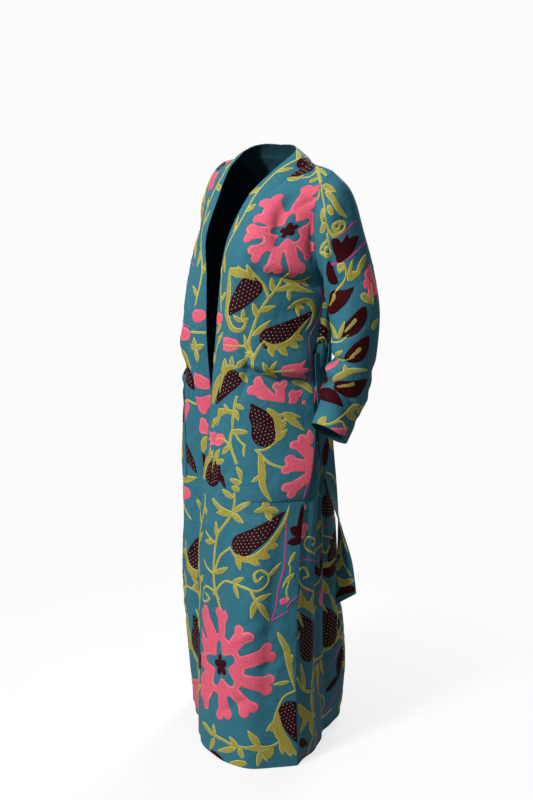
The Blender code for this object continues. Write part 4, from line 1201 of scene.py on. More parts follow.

# %% [markdown]
# The layout. Each row is one motif in the flat centimetres of its piece: its kind, its width, and
# the points that its line passes. The left side was placed from the picture. Sides that
# the picture hides repeat the same motifs, moved and turned over, as a printed guide would be.

# %% Left front
LEFT_FRONT = (
    ("rosette", 3.5, (10.8, 129.1), (1.4, 136.6), (7.6, 141.2), (11.8, 137.8), (16.7, 129.5),
     (19.5, 123.7), (16.5, 119.2), (10.5, 119.5), (5, 122.9), (1.6, 127.9), (2.1, 132.8)),
    ("paisley", 3.6, (1.2, 145.6), (0.2, 142.6)),
    ("leaf", 1.3, (0.1, 142.5), (2.3, 142.4), (3, 143.8)),
    ("stem", .5, (3.6, 142.9), (4.8, 143.8), (4.3, 146.5)),
    ("stem", .6, (3.5, 147), (6.4, 144.3), (8.8, 141.8)),
    ("leaf", 1.2, (6.1, 141.9), (6.8, 144)),
    ("leaf", .9, (4, 146.8), (6.5, 145.8), (7.9, 144.8)),
    ("paisley", 4.6, (6.1, 116.2), (4, 113.2), (0.8, 108.9)),
    ("leaf", 1.7, (0, 119.9), (0.7, 115.1), (0.6, 110.5), (2.5, 106.9), (4.7, 106.3), (5.7, 108),
     (4.7, 109.8)),
    ("leaf", 2.1, (0, 119.4), (4.3, 119.2), (7.3, 117.7)),
    ("leaves", 1.0, (2.8, 118.3), (0.3, 120.2), (4.3, 119), (2.7, 120.8), (6.1, 118.9), (4.6, 121.4),
     (0.7, 115.3), (0, 115.4), (0.3, 113), (0, 111.6)),
    ("stem", .7, (5.8, 119.8), (8.7, 116.9), (10.4, 113.8)),
    ("leaves", 1.0, (4.8, 108.2), (2.8, 109.6), (5, 108.7), (5, 111.2), (5.3, 108.2), (6.1, 109.1)),
    ("stem", .7, (14.1, 119.7), (12.7, 117.3), (11.4, 115.1), (10, 113.1), (8.5, 110.3),
     (7.6, 107.3), (6.8, 103.2), (8.1, 100.1), (8.2, 97)),
    ("leaves", 1.3, (11.1, 115.4), (10.4, 118.3), (8.7, 110.8), (12.2, 111.9), (8.1, 109.6),
     (6.9, 112.6), (7.5, 105), (11.3, 108.7)),
    ("leaf", 1.4, (11.6, 115.4), (15.4, 116), (21.2, 114.5)),
    ("leaves", 1.1, (14.6, 115.3), (15.3, 113)),
    ("leaf", 1.1, (13.1, 117.8), (16.7, 116.8), (19.6, 119.1)),
    ("leaves", .9, (17.7, 117.4), (19.9, 116)),
    ("leaf", 1.3, (15, 111.4), (17, 112.5), (19.6, 112.8), (21.4, 111), (21.4, 108.1), (19.8, 105.7)),
    ("leaves", 1.0, (17.1, 112), (17.9, 108.9), (17.1, 112), (19.2, 110.9), (16.6, 111.8),
     (14.8, 111.2)),
    ("paisley", 4.3, (11.6, 104.5), (15.6, 106.5), (21.4, 110.3)),
    ("leaf", 1.7, (9.9, 103.9), (12.5, 102.5), (16.2, 103.4), (18.2, 106.1), (20.5, 108.7)),
    ("leaves", 1.4, (11.3, 102.9), (12.8, 100.2), (13.7, 102.4), (16.1, 100.3), (15.9, 103.4),
     (18.7, 101.8), (17.3, 104.5), (19.7, 103.6)),
    ("stem", .7, (10.1, 103.9), (9, 101.9), (8.3, 100.1)),
    ("bud", 3.6, (4.2, 102.9), (0, 102.6)),
    ("stem", .6, (1.1, 102.5), (4, 102.6), (6.1, 102.7)),
    ("leaves", .9, (7, 101.2), (5.5, 105.4), (6.6, 100.9), (6, 98.4), (8.1, 100.3), (6.1, 101.4)),
    ("bud", 3.4, (14.2, 97), (20.7, 96.7)),
    ("stem", .6, (17.2, 97.1), (14.4, 97), (11.4, 96.8)),
    ("leaves", 1.0, (11.7, 96.8), (10.2, 99.2), (11.7, 96.8), (13.6, 99.3), (11.6, 96.6),
     (9.8, 95.8), (11.6, 96.6), (13.7, 95)),
    ("line", .4, (22.7, 115.6), (23.8, 112.4), (23.4, 108.7), (21.9, 106), (21.1, 103.5),
     (21.9, 100), (21.6, 96.6), (21.3, 93.1)),
    ("line", .4, (23.4, 108.4), (23.8, 105)),
    ("dark", 1.8, (24.3, 98.1), (23.8, 104.2)),
    ("dark", 1.8, (24.4, 99.1), (23.1, 100.9)),
    ("dark", 1.8, (24.4, 98.6), (23, 97.8)),
    ("petal", 3.6, (14.6, 88.9), (7.9, 93.9)),
    ("petal", 3.0, (15.6, 88.6), (14.3, 94.2)),
    ("petal", 3.0, (18.1, 88), (18.9, 91.9)),
    ("petal", 1.6, (20.5, 87.6), (21.8, 88.8)),
    ("leaf", 1.4, (17.2, 94), (20.4, 93), (23.3, 90.7)),
    ("leaf", 2.4, (-0.6, 89.6), (0, 94.3), (1.6, 96.9), (5.2, 97.8)),
    ("leaves", 1.4, (1, 96.8), (1.1, 99.4), (2.9, 97.5), (3.1, 100.2), (4.4, 97.7), (6.4, 99.8),
     (5, 96.2), (7, 93.9)),
    ("paisley", 3.8, (3.2, 94.6), (1.4, 91.9), (-0.8, 87.8)),
    ("leaf", 2.4, (-1, 69.4), (-0.2, 73.6), (2.2, 75.6)),
    ("leaves", 1.5, (-0.4, 73.5), (-0.6, 76.6), (0.6, 74.5), (2.3, 77.4), (1.6, 73.8), (4.2, 75.2)),
    ("paisley", 5.0, (0.4, 70.6), (1.2, 72), (2.6, 74.4)),
    ("dark", 1.6, (2.4, 71.8), (6.1, 68.5)),
    ("stem", .7, (5, 90.5), (4.9, 86.7), (5.1, 83.1), (5.2, 79.3), (7.7, 75)),
    ("leaves", 1.1, (5.1, 88.7), (7.4, 87.9), (5.3, 87.5), (6.4, 85), (4.9, 86.7), (2.1, 87.3),
     (3.4, 86.8), (2, 88.5)),
    ("leaf", 2.0, (0, 82.8), (0.6, 86), (4.5, 87.2)),
    ("bud", 3.2, (2.9, 80.3), (0, 78.9)),
    ("stem", .6, (0, 79.4), (2.5, 80.2), (5.6, 78.8)),
    ("leaves", 1.4, (5.3, 82.4), (9.3, 82.6), (5, 78.7), (3.2, 76.4)),
    ("stem", .6, (5.3, 82.4), (8.3, 79.7), (11.6, 78.7), (14.1, 79)),
    ("leaves", 1.6, (8.9, 79.3), (10.3, 75.8)),
    ("leaf", 1.6, (7.8, 74.3), (10.3, 71.3), (12.6, 68.4), (12.4, 66), (10.8, 63.9)),
    ("leaves", 1.4, (9.7, 70.3), (6.6, 71), (9.5, 68.8), (7.5, 69.2), (8.1, 66.6), (4.9, 68.1)),
    ("stem", .7, (8.4, 67.6), (8.9, 65.5), (8.5, 62.7), (7.3, 60.4), (5, 56.5), (4.5, 50.9),
     (4.6, 46.5), (5.3, 42.8), (7.3, 38)),
    ("leaf", 1.3, (1.6, 65), (5.1, 63.4), (8.8, 63)),
    ("leaves", 1.5, (8.8, 62.8), (3.8, 62), (8.8, 62.8), (12.4, 61.2), (9.3, 63.4), (12.3, 66.2)),
    ("leaves", 1.3, (4.7, 56.2), (4.1, 59.9), (4.1, 54.5), (0, 53.4), (4.9, 46.6), (9.3, 49.3)),
    ("stem", .6, (0, 58.9), (0, 56.2), (4.1, 54.5)),
    ("stem", .6, (0, 48.7), (2, 47.3), (4.6, 46.3)),
    ("stem", .6, (4.9, 46.9), (6.3, 51.5), (9.6, 54.5)),
    ("leaves", 1.6, (17, 65), (14.2, 64), (17, 65), (18.6, 61.7), (17, 65), (16, 66.9), (17.1, 64.8),
     (20, 64)),
    ("paisley", 4.9, (12.9, 55.7), (17.3, 59.4), (21.4, 64.2)),
    ("leaf", 1.7, (9.7, 54.3), (12.6, 52.9), (16.1, 53.1), (18.9, 55.9), (20.8, 59.3), (22, 62.7),
     (22.1, 65.7)),
    ("leaves", 1.6, (12, 53.3), (13.6, 49.8), (15.1, 53.3), (18, 51.6), (17.3, 54.2), (20, 53.3),
     (19, 56.1), (21.4, 56)),
    ("stem", .6, (5.1, 41.2), (7.4, 44.8), (10.8, 46.2), (15.1, 45.9), (18.3, 45.4), (20.2, 46.9),
     (20.3, 49), (18.4, 50.4), (17.2, 49.4), (17.9, 47.7), (18.9, 48.8)),
    ("leaves", 1.2, (20.3, 48.8), (22.9, 51.9), (11.8, 46.2), (14.8, 48.3), (12.4, 45.8), (14.2, 42.9)),
    ("stem", .6, (6.7, 40.2), (5, 42), (1.9, 42.2), (0, 39.6), (1, 37.8), (3.7, 39.4), (2.1, 40.4)),
    ("stem", .6, (16.7, 45.6), (18.3, 43.2)),
    ("leaves", 1.3, (18.3, 43.2), (21.7, 44.6), (18.3, 43.2), (17.9, 38.6), (18.9, 42.7), (22.3, 37.5)),
    ("line", .45, (22, 62.5), (23.1, 56.8), (23.8, 50.9), (23.4, 46.2), (23.4, 41.1), (22.8, 37.9),
     (24.4, 38.7), (26.4, 40)),
    ("line", .45, (26.1, 41), (26.9, 42.2), (28.2, 43.2)),
    ("dark", 2.2, (26.8, 55.7), (25.3, 65.4)),
    ("dark", 2.2, (26.3, 58.4), (23.5, 60.1)),
    ("dark", 2.0, (26.6, 56.9), (23.4, 56.6)),
    ("leaf", 1.0, (25.8, 54.2), (24.7, 51)),
    ("leaves", .9, (25.6, 48.8), (24.2, 45.8), (25.6, 47.6), (26.5, 49.2)),
    ("stem", .4, (25.2, 51), (25.6, 47.6), (25.3, 44.8), (26.1, 42.7)),
    ("pink", 1.6, (24.4, 42.4), (26.3, 42.7)),
    ("rosette", 4.4, (9.9, 24.1), (8.5, 38.4), (0.4, 36.2), (17.2, 35.7), (24.1, 30.3), (24.8, 21.4),
     (20.3, 14.3), (12.7, 10.8), (3.3, 11.3), (-1.5, 13), (-4, 21), (-3.5, 30)),
    ("leaf", 1.5, (24.3, 35), (27, 30.3), (28.2, 25.9), (30.1, 19.9)),
    ("leaves", 1.1, (28.2, 26.2), (28.6, 29.1), (28.7, 22.1), (24.6, 21.7)),
    ("stem", .8, (4, 6), (8.2, 5), (13, 5.5), (16.3, 5.1), (20.2, 5.4), (22.8, 5.6), (25.5, 5.6),
     (27.8, 6.7)),
    ("leaves", 1.5, (8.7, 4.7), (4.6, 6.6), (9.6, 4.8), (8.7, 8), (9.6, 4.3), (8, 0.5), (17.5, 4.9),
     (14.9, 7.1), (17.2, 4.6), (11.3, 1.8), (18.1, 4.6), (19.2, 2.5)),
    ("leaves", 1.7, (22.8, 6.1), (19.7, 10), (24, 5.5), (19.6, 5.5), (23.4, 5), (22.9, 0.5),
     (24.1, 5.2), (25.2, 1.7), (25.5, 5.6), (25.8, 2.7), (20.3, 1.4), (15.6, 0.3)),
    ("dark", 2.2, (8.3, 0), (14.4, 0)),
    ("paisley", 4.6, (29.2, 14.4), (30.6, 10.3), (32.4, 5.5)),
    ("stem", .6, (30.1, 19.6), (27.6, 18.4), (26.4, 15.4), (26, 12.6)),
    ("leaf", 2.4, (26.2, 15.1), (27, 9.9), (29.6, 6), (32.7, 2.3)),
    ("leaves", 1.6, (26.3, 12), (24.1, 9.7), (26.9, 10.4), (24.3, 10.4), (28.1, 6.7), (28.9, 3.2),
     (29.4, 5.8), (31, 2.5)),
)

print("motifs on the left front:", len(LEFT_FRONT))

# %% Left pocket
LEFT_POCKET = (
    ("paisley", 5.6, (13.3, 83.1), (11.9, 86.1), (7.3, 90.3)),
    ("leaf", 1.9, (12.4, 89.6), (15.1, 87.1), (15.9, 82.3), (14.8, 79.8)),
    ("leaves", 1.5, (16, 81.6), (17.8, 84.7), (16.5, 84.4), (16.9, 87.5)),
    ("leaf", 1.7, (16.2, 88.8), (18.6, 86.9), (21.8, 84.2)),
    ("leaves", 1.3, (16.2, 88.8), (20.7, 87.8), (14.9, 86.9), (16.2, 88.6)),
    ("stem", .6, (11.7, 78.8), (14, 79.3), (15.6, 81.4), (15.9, 83.9)),
    ("stem", .6, (12.1, 78.6), (15.2, 75.9), (18.3, 74.7)),
    ("leaf", 1.6, (12.6, 78.4), (14, 74), (15.1, 70), (17.9, 66.2)),
    ("leaves", 1.2, (14.2, 72.8), (12.3, 71.1)),
    ("petal", 3.7, (24.8, 76.7), (20, 82.1)),
    ("petal", 4.0, (25.2, 74.8), (18.3, 75.6)),
    ("petal", 3.8, (25.2, 72.5), (20.2, 68.3)),
    ("pink", 2.0, (23.5, 80.4), (23, 84.5)),
    ("pink", 3.4, (23.9, 79.5), (25.8, 69.6)),
    ("line", .45, (25.2, 66.6), (25, 69.3), (25.1, 71.1)),
)

print("motifs on the left pocket:", len(LEFT_POCKET))

# %% Sleeve
SLEEVE = (
    ("stem", .6, (4.5, 0), (6.3, 1.9), (7.7, 3.7), (9.1, 5.1), (9, 6.4), (11.1, 6.4), (15.1, 4.2),
     (17.5, 3.3), (12.8, 7.8), (8.9, 10.1), (10.9, 7.8), (14.5, 5.5)),
    ("leaves", 1.4, (4.5, 0.5), (2.5, 4.6), (5.6, 0), (8.5, 0), (7, 4.2), (5.2, 6.4), (7.9, 3.3),
     (10.6, 3.3), (9.4, 5.1), (13.3, 2.8), (10.9, 6), (9, 8.7)),
    ("leaf", 1.5, (5, 1.9), (3.6, 6.4), (1.2, 9.2)),
    ("stem", .6, (9.2, 6), (6.9, 8.7), (3.6, 10.1), (2.2, 9.7), (4.4, 8.3), (7, 7.3), (5.6, 8.7),
     (4, 9.2)),
    ("dark", 2.4, (6.9, 12.4), (5.5, 12), (8, 8.7)),
    ("dark", 2.6, (6.9, 12.4), (3.9, 12.4), (2.3, 11.1)),
    ("dark", 2.4, (6.9, 12.4), (3.1, 12.9), (-0.8, 12.4)),
    ("line", .4, (6.1, 9.2), (2.7, 10.6), (-1.4, 10.1)),
    ("line", .4, (12.1, 9.7), (7.1, 12.9), (1.7, 14.3), (-4.1, 12.9)),
    ("stem", .6, (10.6, 16.1), (6.3, 16.6), (4.9, 15.7), (5.1, 14.3), (7.1, 13.4), (6.8, 14.3),
     (5.3, 14.8)),
    ("leaves", 1.3, (5.1, 16.6), (1.2, 17.5), (4.8, 17.1), (2.6, 14.8), (2.3, 17.1), (-1.8, 15.2)),
    ("calla", 4.0, (13.8, 15.7), (7.5, 18.9), (3.6, 18.9)),
    ("calla", 4.2, (6.4, 25.9), (4, 25.4), (1.4, 23.1)),
    ("leaves", 1.6, (8.7, 26.8), (13.9, 19.8), (8.3, 27.2), (6.8, 23.6)),
    ("stem", .5, (11.2, 27.2), (7.5, 28.2), (5.5, 27.2)),
    ("calla", 4.2, (4.2, 32.8), (2.1, 30.9), (0.4, 28.6)),
    ("stem", .5, (8.6, 32.8), (5.7, 33.7), (3.5, 32.8)),
    ("leaves", 1.4, (8.3, 32.3), (6.2, 30.9)),
    ("leaf", 1.4, (7.2, 39.7), (4.9, 37.4), (2.9, 36), (-0.8, 35.1)),
    ("leaves", 1.1, (4.5, 37.4), (5.2, 35.1)),
    ("calla", 3.8, (5.5, 40.6), (2, 40.2), (-1.7, 36.9)),
    ("dark", 3.2, (10.1, 43), (6.5, 43.4), (3, 44.8)),
    ("stem", .6, (6.1, 50.8), (3.5, 49.4), (1.4, 45.3), (-0.9, 43)),
    ("stem", .5, (3.5, 49.4), (1.5, 48), (-0.5, 49.4)),
    ("leaves", 1.6, (6.1, 50.8), (5.3, 48.5), (1.6, 45.7), (-3.5, 45.7), (1.3, 45.3), (-1.5, 42.5),
     (-1.4, 44.3), (-4.9, 41.6)),
    ("petal", 1.8, (2.7, 50.8), (-1, 49)),
    ("pink", 1.6, (2.4, 50.8), (1, 50.8)),
    ("petal", 2.4, (-2.5, 21.2), (-1.2, 17.1)),
    ("petal", 2.4, (-3.1, 21.2), (0.7, 18.5)),
    ("petal", 2.2, (-2.9, 21.2), (0.5, 20.8)),
    ("leaf", 1.4, (2.3, 20.8), (-0.8, 23.1)),
    ("stem", .5, (-0.8, 19.8), (-0.8, 23.1)),
    ("dark", 2.6, (13.1, 9.2), (7.8, 15.7)),
    ("pink", 2.2, (8.6, 36.9), (7.9, 32.8)),
    ("leaf", 1.4, (-0.3, 27.2), (-2.7, 25.9)),
    ("leaf", 1.4, (-5.3, 37.9), (-5.3, 36)),
)

print("motifs on the side of the sleeve that shows:", len(SLEEVE))

# %% Back
BACK_LEFT = (
    ("stem", .6, (23.5, 59), (23, 54.9), (24.7, 51.4), (31, 51.2), (35.2, 53.5), (36.5, 55.5),
     (35.1, 57.1), (33.1, 55.8), (34.3, 54.9)),
    ("stem", .6, (25, 43.9), (27.7, 42.1), (33, 41.9), (38.3, 45), (39.8, 47.3), (39.2, 49.7),
     (37.4, 49.8), (36.6, 47.6), (38.2, 47.2)),
    ("stem", .5, (19.7, 51.7), (23.2, 53.2), (24, 50.4), (22.2, 48.4), (21.1, 50.3)),
    ("leaf", 1.6, (24, 57.6), (26.8, 55.8)),
    ("dark", 2.0, (25, 43.5), (27.6, 45.2), (31.5, 48.6)),
    ("dark", 1.6, (25.4, 44.4), (24.6, 49.6)),
    ("dark", 3.0, (23.4, 43.1), (18, 42.8)),
    ("leaf", 2.4, (24.7, 41.9), (21.8, 36.8)),
    ("leaf", 1.4, (24.2, 44.7), (17.8, 46)),
    ("pink", 3.0, (26.3, 35.8), (25.4, 40.2)),
    ("petal", 3.4, (38.8, 66.0), (33.9, 65.8)),
    ("petal", 3.4, (39.4, 60.6), (35.2, 58.4)),
    ("dark", 1.8, (40.4, 57), (40.2, 68)),
    ("line", .45, (41.5, 41.3), (37.6, 43.9), (31, 40.4), (26.3, 39.6), (25.1, 42.6)),
    ("line", .45, (40.9, 49.4), (37.8, 51.9), (31, 49.4), (26, 47.7), (24, 50.3), (19, 53.5)),
    ("line", .45, (23, 54.9), (18.8, 57.2)),
    ("dark", 2.6, (21.8, 63.7), (19.9, 58.6)),
    ("leaves", 1.4, (40, 44), (37.4, 38.8), (41.6, 39.6), (39.6, 34.6), (40.8, 52), (38.6, 57.5)),
    ("paisley", 6.6, (37.6, 29), (38.6, 33.4), (41.4, 39.4)),
    ("leaf", 2.2, (41.6, 40.5), (38.5, 40.6), (34.7, 37.2), (31.4, 31.5), (30.6, 25.2)),
    ("leaves", 1.7, (40.2, 40.1), (39.4, 45), (37.3, 38.6), (34.8, 43.5), (34.5, 35.5), (31.4, 39.8),
     (32.5, 32.5), (28.4, 36.2)),
    ("stem", .5, (41.4, 39.4), (43, 37), (43.2, 33.8), (41.8, 32.8), (41, 34.4)),
    ("paisley", 6.6, (21.3, 25.6), (22.6, 29.6), (24.2, 34.4)),
    ("stem", .9, (35.4, 20.6), (30, 21.2), (24, 21.4), (17.4, 24)),
    ("leaves", 1.6, (29.4, 21), (33.8, 23.4), (27.4, 20.4), (24.8, 15), (28.2, 20), (29.6, 11),
     (20.5, 22.4), (17, 27.5)),
    ("stem", .8, (43.4, 22.6), (41.2, 18.7), (37.6, 16.9), (32.8, 17.4), (28.6, 19.6)),
    ("leaves", 1.4, (40.6, 18.7), (41.6, 26.2), (38.2, 17.6), (36.2, 24.2), (38.4, 16.8), (38, 10.4)),
    ("leaf", 2.6, (43.9, 15.6), (40.4, 11.2), (35.6, 9.2)),
    ("leaves", 2.0, (40.2, 10.6), (43.7, 7.8), (38.9, 9.8), (38.2, 4.7)),
    ("line", .45, (33.5, 8.6), (29.6, 13.4), (25, 14.6), (18.2, 21)),
    ("line", .45, (43, 1.2), (36.3, 1.9), (27.4, 4.4), (20.4, 7.8), (16, 13.4)),
    ("dark", 2.4, (17.6, 20.4), (18.8, 16.4), (19.6, 11.8)),
    ("dark", 1.8, (19.6, 12.6), (24.2, 9.8)),
    ("stem", .5, (22.4, 4.6), (27.4, 4), (29.4, 8.4), (27.2, 10.4), (25.4, 8), (26.8, 6)),
    ("dark", 2.4, (43.6, 5.4), (40.2, 3.2)),
    ("stem", .5, (39.9, 0.6), (38.6, 3.4), (36.2, 4.6), (35.2, 2.6), (37, 1.6)),
    ("leaves", 1.4, (25.4, 35.8), (22.2, 31.8), (18.4, 29.6), (21.8, 36.9), (19.2, 33), (16.6, 36.8)),
)
over_back = kept(moved(LEFT_FRONT, across=-12.5), lambda x, y: x < 15.5 or y > 72)
BACK = BACK_LEFT + tuple(over_back)
BACK += tuple(kept(moved(BACK_LEFT, up=5, flip=-1, wrap=150), lambda x, y: x < -15))
turned_over = moved(LEFT_FRONT, across=-11.5, up=-46, flip=-1, wrap=150)
BACK += tuple(kept(turned_over, lambda x, y: x < -15 and y > 66))
BACK += tuple(kept(moved(LEFT_FRONT, across=12.6), lambda x, y: x > 12 and y > 66))
BACK += (
    ("stem", .7, (9.6, 2), (14.4, 9), (15.6, 18), (11.6, 27), (12.4, 38), (16.2, 48), (13, 59),
     (15.8, 68), (14.4, 78), (17.2, 88)),
    ("leaves", 1.6, (15, 12), (18.4, 16.6), (15.6, 16), (11, 12.4), (12, 26), (8, 23.4), (11.6, 29),
     (15.8, 33.4), (12.4, 36.6), (8.4, 40)),
    ("leaves", 1.6, (13.6, 42), (17.8, 41), (16, 47), (12.2, 50.6), (14.6, 53.6), (19, 57.6),
     (13, 59), (9, 56), (14, 62.6), (10.2, 67)),
    ("leaves", 1.5, (15.6, 67), (20.2, 69.6), (15.2, 72.6), (11, 75.6), (14.6, 78), (18.6, 80.6),
     (16.2, 84.6), (12.4, 88)),
    ("stem", .6, (15.9, 21), (19.4, 25.4), (18.4, 30), (15.2, 28.4), (16.6, 26.4)),
    ("paisley", 4.6, (19.2, 46.4), (19, 50.6), (16, 54.6)),
    ("bud", 3.6, (17.4, 72.8), (22.6, 76.4)),
    ("paisley", 4.4, (20.6, 60.4), (19.4, 65), (22.4, 69.4)),
)
print("motifs on the back:", len(BACK))

# %% Right front
RIGHT_FRONT = (
    ("flower", 3.0, (6.6, 133.6), (1.2, 139.6), (3.4, 128.4), (8.6, 140.4), (12.6, 136.6),
     (12.8, 130.6), (9.2, 127.4)),
    ("paisley", 3.4, (5.6, 145.6), (9.8, 145.2)),
    ("leaf", 1.6, (1.6, 127), (3.4, 122.2), (6.4, 121.6), (7.2, 124.4)),
    ("leaves", 1.2, (2.4, 124), (0.4, 120.2), (11, 124), (14.8, 127.2)),
    ("line", .4, (0.3, 118.8), (6, 120.2), (12, 118.6)),
    ("paisley", 4.4, (5.8, 115.4), (5.2, 112), (3.4, 108.4)),
    ("leaf", 1.9, (8.8, 117.4), (9, 112.6), (6.4, 108.2), (3.2, 105.8)),
    ("leaves", 1.4, (8.8, 113.6), (12.2, 112.8), (7.8, 110), (10.8, 107.2)),
    ("line", .4, (0, 104.6), (7, 106), (16, 104.4)),
    ("bud", 4.0, (0.4, 103), (5.6, 102.6)),
    ("stem", .6, (5.4, 101.6), (10.4, 100), (14.6, 102.4)),
    ("leaves", 1.3, (9.8, 100.2), (9, 96.8), (12.4, 101), (13.4, 97.6)),
    ("leaf", 2.2, (6.4, 97.2), (3, 97.6), (0.4, 94.4)),
    ("paisley", 4.4, (4.1, 94), (2.1, 92.4), (0, 89.4)),
    ("petal", 3.4, (3.4, 85), (7.8, 79.6)),
    ("stem", .6, (7.4, 84.6), (3.1, 86.4), (0.2, 86)),
    ("leaf", 1.7, (11.8, 91.4), (14.8, 96), (18.6, 96.4)),
    ("paisley", 4.8, (9.2, 74), (5.2, 72.5), (2.2, 68.6)),
    ("leaf", 1.9, (11.3, 66), (7.5, 66), (2.4, 67.6)),
    ("leaves", 1.4, (3.4, 62), (1.4, 58.6), (7.4, 63.4), (10.8, 61)),
    ("bud", 3.6, (5.6, 63.2), (11, 61.4)),
    ("stem", .6, (6.2, 56.4), (9.4, 60.2), (10.2, 64.4)),
    ("paisley", 4.8, (5.2, 46.4), (3.4, 50.6), (0.8, 54)),
    ("leaf", 2.0, (1.4, 44.4), (5.4, 42.4), (8.8, 45.2), (8.6, 50.6)),
    ("leaves", 1.4, (6.4, 43), (5.4, 39.2), (8.8, 47), (12.2, 46)),
    ("stem", .6, (12.4, 36), (7.4, 38.2), (3, 36), (2, 32), (4.4, 30.4), (5.6, 32.6)),
    ("leaves", 1.4, (6.4, 38), (3.8, 40.8), (9.6, 37.6), (10.4, 41.4), (10, 37), (12.2, 33)),
    ("paisley", 5.2, (6.4, 22.4), (5.4, 27), (6.6, 31.2)),
    ("leaf", 2.0, (10.4, 30.4), (10.8, 24.2), (8, 18.4), (4, 17)),
    ("leaves", 1.5, (10.8, 25.4), (14.4, 26.8), (10, 21), (13.4, 18.6), (6.6, 17.6), (7.4, 13.6)),
    ("petal", 3.6, (10.4, 10), (4.2, 12.2)),
    ("petal", 3.6, (10.4, 8.4), (4.4, 4.6)),
    ("petal", 3.4, (11.6, 8), (11.4, 1.6)),
    ("petal", 3.4, (12.4, 9.4), (18.4, 8)),
)
RIGHT_FRONT += tuple(kept(moved(LEFT_FRONT, across=6.5, up=-31, wrap=150), lambda x, y: x > 13.5))
RIGHT_POCKET = moved(LEFT_POCKET, across=-4.6)
print("motifs on the right front:", len(RIGHT_FRONT))

# %% Whole sleeve, band and belt ends
behind = moved(SLEEVE, across=-9.5, up=3.5, flip=-1) + moved(SLEEVE, across=-30, up=-24, flip=1, wrap=52)
WHOLE_SLEEVE = SLEEVE + tuple(kept(behind, lambda x, y: x < -5.5)) + (
    ("paisley", 4.6, (22.4, 12.4), (21.4, 16.4), (19.4, 20.8)),
    ("leaf", 2.0, (25.6, 9.6), (26, 15), (23.4, 20), (19.8, 23)),
    ("leaves", 1.4, (25.8, 15.4), (28.6, 17.8), (24, 19.2), (26, 23.2)),
    ("petal", 3.2, (19.4, 29.4), (15.4, 27)),
    ("petal", 3.2, (19.6, 30.8), (17.8, 35)),
    ("stem", .6, (23.6, 24.6), (21, 27.6), (20, 33.6), (17.6, 39.4), (12.8, 45)),
    ("leaves", 1.4, (20.2, 33), (23.2, 35), (18, 38.6), (20.2, 41.4), (16, 41.4), (12.6, 40)),
)
BAND_TOP = 169


def on_vine(y):
    return (2.3 + math.sin(y / 3.6), y)


vine_leaves = []
for k, y in enumerate(range(2, 162, 5)):
    root = on_vine(y)
    side = 1 if k % 2 else -1
    reach = 1.9 + 0.3 * math.sin(7 * k)
    rise = (3.0 + 0.5 * math.cos(5 * k)) * (1 if k % 3 else -1)
    tip = (root[0] + side * reach, y + rise)
    vine_leaves.append(("leaves", 1.1 + 0.2 * math.sin(4 * k), root, tip))


def band(pods, spans):
    """A vine up a band, broken off where its pods lie."""
    clear = kept(vine_leaves, lambda x, y: not any(low < y < high for low, high in spans))
    stops = [0, *[y for span in spans for y in span], BAND_TOP]
    stems = []
    for low, high in zip(stops[::2], stops[1::2]):
        stems.append(("stem", 0.5, *[on_vine(y) for y in range(low, high, 2)]))
    return clear + list(pods) + stems


BAND_LEFT = band(
    (
        ("leaf", 2.4, (2.6, 87.4), (1.6, 91.6), (-0.8, 96.2)),
        ("paisley", 3.8, (-3.2, 94.6), (-1.4, 91.9), (0.8, 87.8)),
        ("bud", 3.4, (-2.6, 80.3), (2.6, 78.8)),
        ("leaf", 2.4, (3.8, 68), (2.8, 72.4), (0, 75.8)),
        ("leaves", 1.4, (1.2, 74), (1.6, 77), (0.4, 75), (-1, 77.4)),
        ("paisley", 5.0, (-0.4, 70.6), (-1.2, 72), (-2.6, 74.4)),
        ("bud", 3.0, (1.2, 108.4), (4.2, 107.6)),
        ("paisley", 3.6, (0.4, 148.6), (0.8, 145.6)),
        ("paisley", 3.8, (2.2, 20.2), (2.8, 24.2), (1.6, 28.4)),
    ),
    ((19, 29), (66, 82), (86, 98), (106, 110)),
)
BAND_RIGHT = band(
    (
        ("stem", 0.6, (0, 103.6), (4.4, 103.8)),
        ("leaves", 1.3, (1.4, 99.8), (1.2, 102.4), (1.4, 99.8), (-0.4, 100.4), (1.6, 99.4),
         (1.8, 96.6), (1.6, 99.8), (3.8, 101)),
        ("bud", 3.8, (4.3, 91.2), (0, 92.4)),
        ("petal", 3.8, (4.2, 87.6), (0.2, 85.4)),
        ("petal", 3.4, (4, 79.4), (0.4, 81.4)),
        ("dark", 2.6, (0.4, 73.6), (1.6, 69.8)),
        ("bud", 3.2, (4, 108), (1, 107.2)),
        ("leaf", 1.8, (0.4, 74.4), (1.6, 77.4), (4, 78.4)),
        ("pink", 2.0, (3.4, 44), (1.2, 39.4)),
        ("paisley", 3.6, (0.4, 148.6), (0.8, 145.6)),
        ("paisley", 3.8, (2.2, 20.2), (2.8, 24.2), (1.6, 28.4)),
    ),
    ((19, 29), (68, 110)),
)
BELT_END = (
    ("line", .45, (-2.6, 30), (-1.4, 24.4), (0.6, 22), (2.6, 17)),
    ("stem", .5, (-2.2, 22), (-0.6, 17), (1.4, 14.4), (0.6, 10), (-1.6, 7)),
    ("leaves", 1.4, (-0.6, 17.6), (-2.2, 13.6), (0.8, 11), (2.4, 7.2), (1, 14.6), (2.4, 11.4)),
    ("leaf", 2.0, (-2.2, 5.6), (0.4, 4.4), (2.4, 6)),
    ("dark", 2.4, (-2.4, 1.4), (0, 2.6), (2.6, 1.6)),
    ("dark", 2.4, (-1.8, 37), (0.8, 44)),
    ("leaf", 1.6, (2.4, 40), (0.6, 46), (-2, 50)),
    ("pink", 2.0, (-1.6, 54), (1.4, 57.4)),
    ("stem", .5, (2.2, 31), (0.8, 34), (-1.6, 35.4)),
)
print("motifs on a sleeve:", len(WHOLE_SLEEVE), "and on a band:", len(BAND_LEFT))

# %% [markdown]
# Stitching each layout on to its cloth. A grid point's flat place is turned into a place on the
# hung cloth through the piece's own table, so the motifs bend with every fold. Each colour of
# each piece becomes one object. Pink goes on first, then purple, burgundy and olive, because
# that is the order in which the threads lie over each other.

